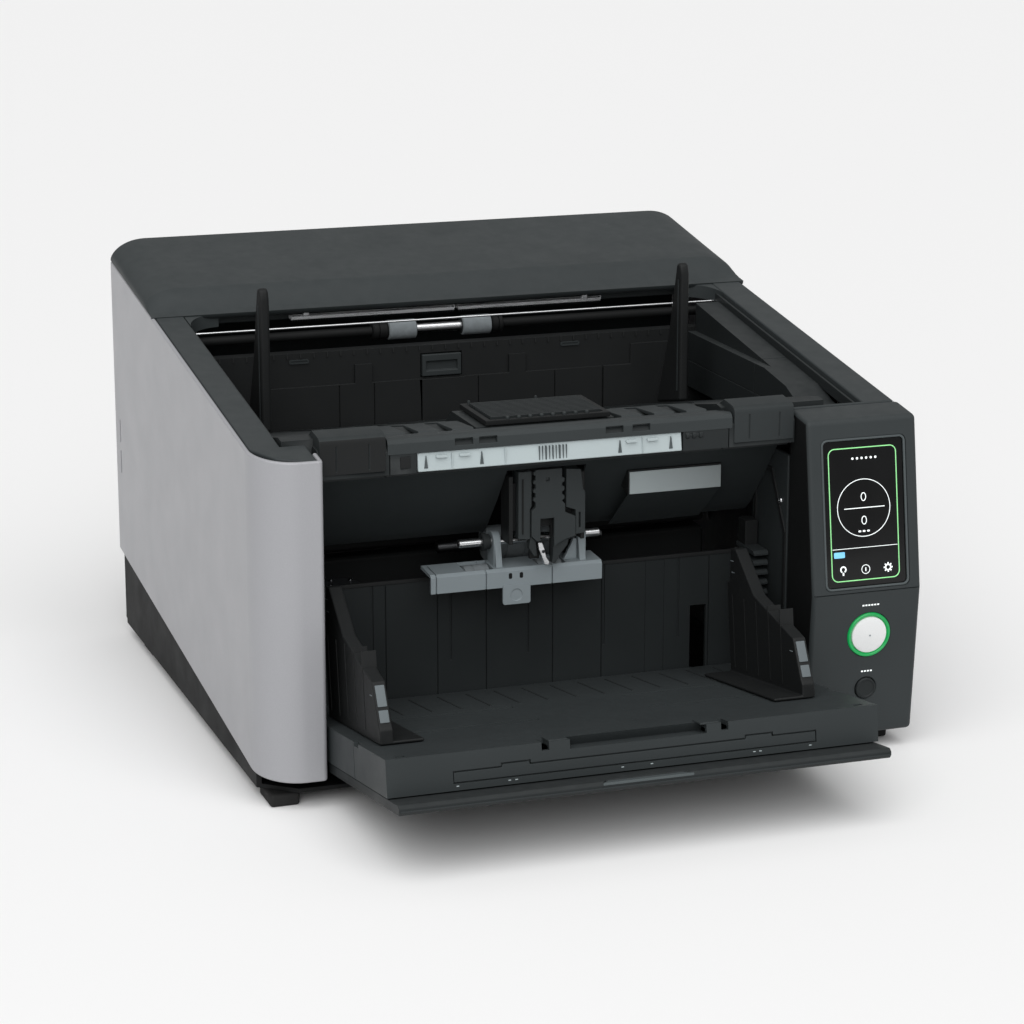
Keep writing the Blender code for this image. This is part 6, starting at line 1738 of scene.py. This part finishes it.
class SCANNER_OT_finishes(bpy.types.Operator):
    """Makes the finishes and the trees of repeats"""
    bl_idname = "scanner.finishes"
    bl_label = "Finishes"

    def execute(self, context):
        FINISHES.update(make_finishes(context.scene.scanner_colours))
        TREES.update(row=row_tree(), ring=ring_tree())
        return {"FINISHED"}


class SCANNER_OT_covers(bpy.types.Operator):
    """Builds the silver side covers, the rim and the hood"""
    bl_idname = "scanner.covers"
    bl_label = "Covers"

    def execute(self, context):
        for build in (left_cover, right_cover, top_rim, rim_corners, hood_shell, hood_ribs):
            build(context.scene.scanner_sizes)
        return {"FINISHED"}


class SCANNER_OT_panel(bpy.types.Operator):
    """Builds the operator panel with its screen and buttons"""
    bl_idname = "scanner.operator_panel"
    bl_label = "Operator panel"

    def execute(self, context):
        for build in (operator_housing, touch_screen, buttons):
            build(context.scene.scanner_sizes)
        return {"FINISHED"}


class SCANNER_OT_base(bpy.types.Operator):
    """Builds the feet and the rounded copies of the plain frame parts"""
    bl_idname = "scanner.base"
    bl_label = "Base and plain parts"

    def execute(self, context):
        for build in (rounded_copies, feet):
            build(context.scene.scanner_sizes)
        return {"FINISHED"}


class SCANNER_OT_well(bpy.types.Operator):
    """Builds the well, the release tab and the eject section"""
    bl_idname = "scanner.well"
    bl_label = "Well and eject section"

    def execute(self, context):
        for build in (well, well_side, release_tab, eject, static_bars):
            build(context.scene.scanner_sizes)
        return {"FINISHED"}


class SCANNER_OT_stacker(bpy.types.Operator):
    """Builds the stacker with its stopper, extension and side stops"""
    bl_idname = "scanner.stacker"
    bl_label = "Stacker"

    def execute(self, context):
        for build in (stacker, stacker_stopper, stacker_extension, stacker_fins):
            build(context.scene.scanner_sizes)
        return {"FINISHED"}


class SCANNER_OT_bay(bpy.types.Operator):
    """Builds the walls of the hopper bay and the plate under the blank label"""
    bl_idname = "scanner.bay"
    bl_label = "Hopper bay"

    def execute(self, context):
        for build in (bay_walls, throat):
            build(context.scene.scanner_sizes)
        return {"FINISHED"}


class SCANNER_OT_pick(bpy.types.Operator):
    """Builds the pick section: bracket, plate, shaft and rollers"""
    bl_idname = "scanner.pick"
    bl_label = "Pick section"

    def execute(self, context):
        for build in (pick_bracket, pick_arm, pick_shaft):
            build(context.scene.scanner_sizes)
        return {"FINISHED"}


class SCANNER_OT_hopper(bpy.types.Operator):
    """Builds the hopper tray, its extension, the side guides and the lifting screw"""
    bl_idname = "scanner.hopper"
    bl_label = "Hopper"

    def execute(self, context):
        for build in (hopper_tray, hopper_extension, hopper_guides, lift_screw):
            build(context.scene.scanner_sizes)
        return {"FINISHED"}


class SCANNER_OT_inside(bpy.types.Operator):
    """Builds the rollers, the drive, the sensors, the electronics and the side frames' screws"""
    bl_idname = "scanner.inside"
    bl_label = "Inside"

    def execute(self, context):
        for build in (rollers, drive, sensors, electronics, frame_details):
            build(context.scene.scanner_sizes)
        return {"FINISHED"}


class SCANNER_OT_rear(bpy.types.Operator):
    """Builds the details of the rear cover, the ports, the fan and the base"""
    bl_idname = "scanner.rear"
    bl_label = "Rear and base"

    def execute(self, context):
        for build in (rear_details, base_details):
            build(context.scene.scanner_sizes)
        return {"FINISHED"}


STEPS = (SCANNER_OT_stage, SCANNER_OT_finishes, SCANNER_OT_covers, SCANNER_OT_panel,
    SCANNER_OT_base, SCANNER_OT_well, SCANNER_OT_stacker, SCANNER_OT_bay, SCANNER_OT_pick,
    SCANNER_OT_hopper, SCANNER_OT_inside, SCANNER_OT_rear)


class SCANNER_PT_sidebar(bpy.types.Panel):
    """Lists the steps and the values of the scanner"""
    bl_idname = "SCANNER_PT_sidebar"
    bl_label = "Scanner"
    bl_space_type = "VIEW_3D"
    bl_region_type = "UI"
    bl_category = "Scanner"

    def draw(self, context):
        for step in STEPS:
            self.layout.operator(step.bl_idname)
        for group in (context.scene.scanner_sizes, context.scene.scanner_colours,
                context.scene.scanner_stage):
            box = self.layout.box()
            for name in group.__annotations__:
                box.prop(group, name)


GROUPS = {"scanner_sizes": ScannerSizes, "scanner_colours": ScannerColours, "scanner_stage": ScannerStage}


def register():
    for item in (*GROUPS.values(), *STEPS, SCANNER_PT_sidebar):
        bpy.utils.register_class(item)
    for name, group in GROUPS.items():
        setattr(bpy.types.Scene, name, PointerProperty(type=group))


def unregister():
    for name in GROUPS:
        delattr(bpy.types.Scene, name)
    for item in reversed((*GROUPS.values(), *STEPS, SCANNER_PT_sidebar)):
        bpy.utils.unregister_class(item)


def main():
    register()
    for obj in list(bpy.data.objects):
        if obj.name in ("Cube", "Light", "Camera") and obj.name not in frame["nodes"]:
            bpy.data.objects.remove(obj)
    for step in STEPS:
        group, name = step.bl_idname.split(".")
        getattr(getattr(bpy.ops, group), name)()


if __name__ == "__main__":
    main()
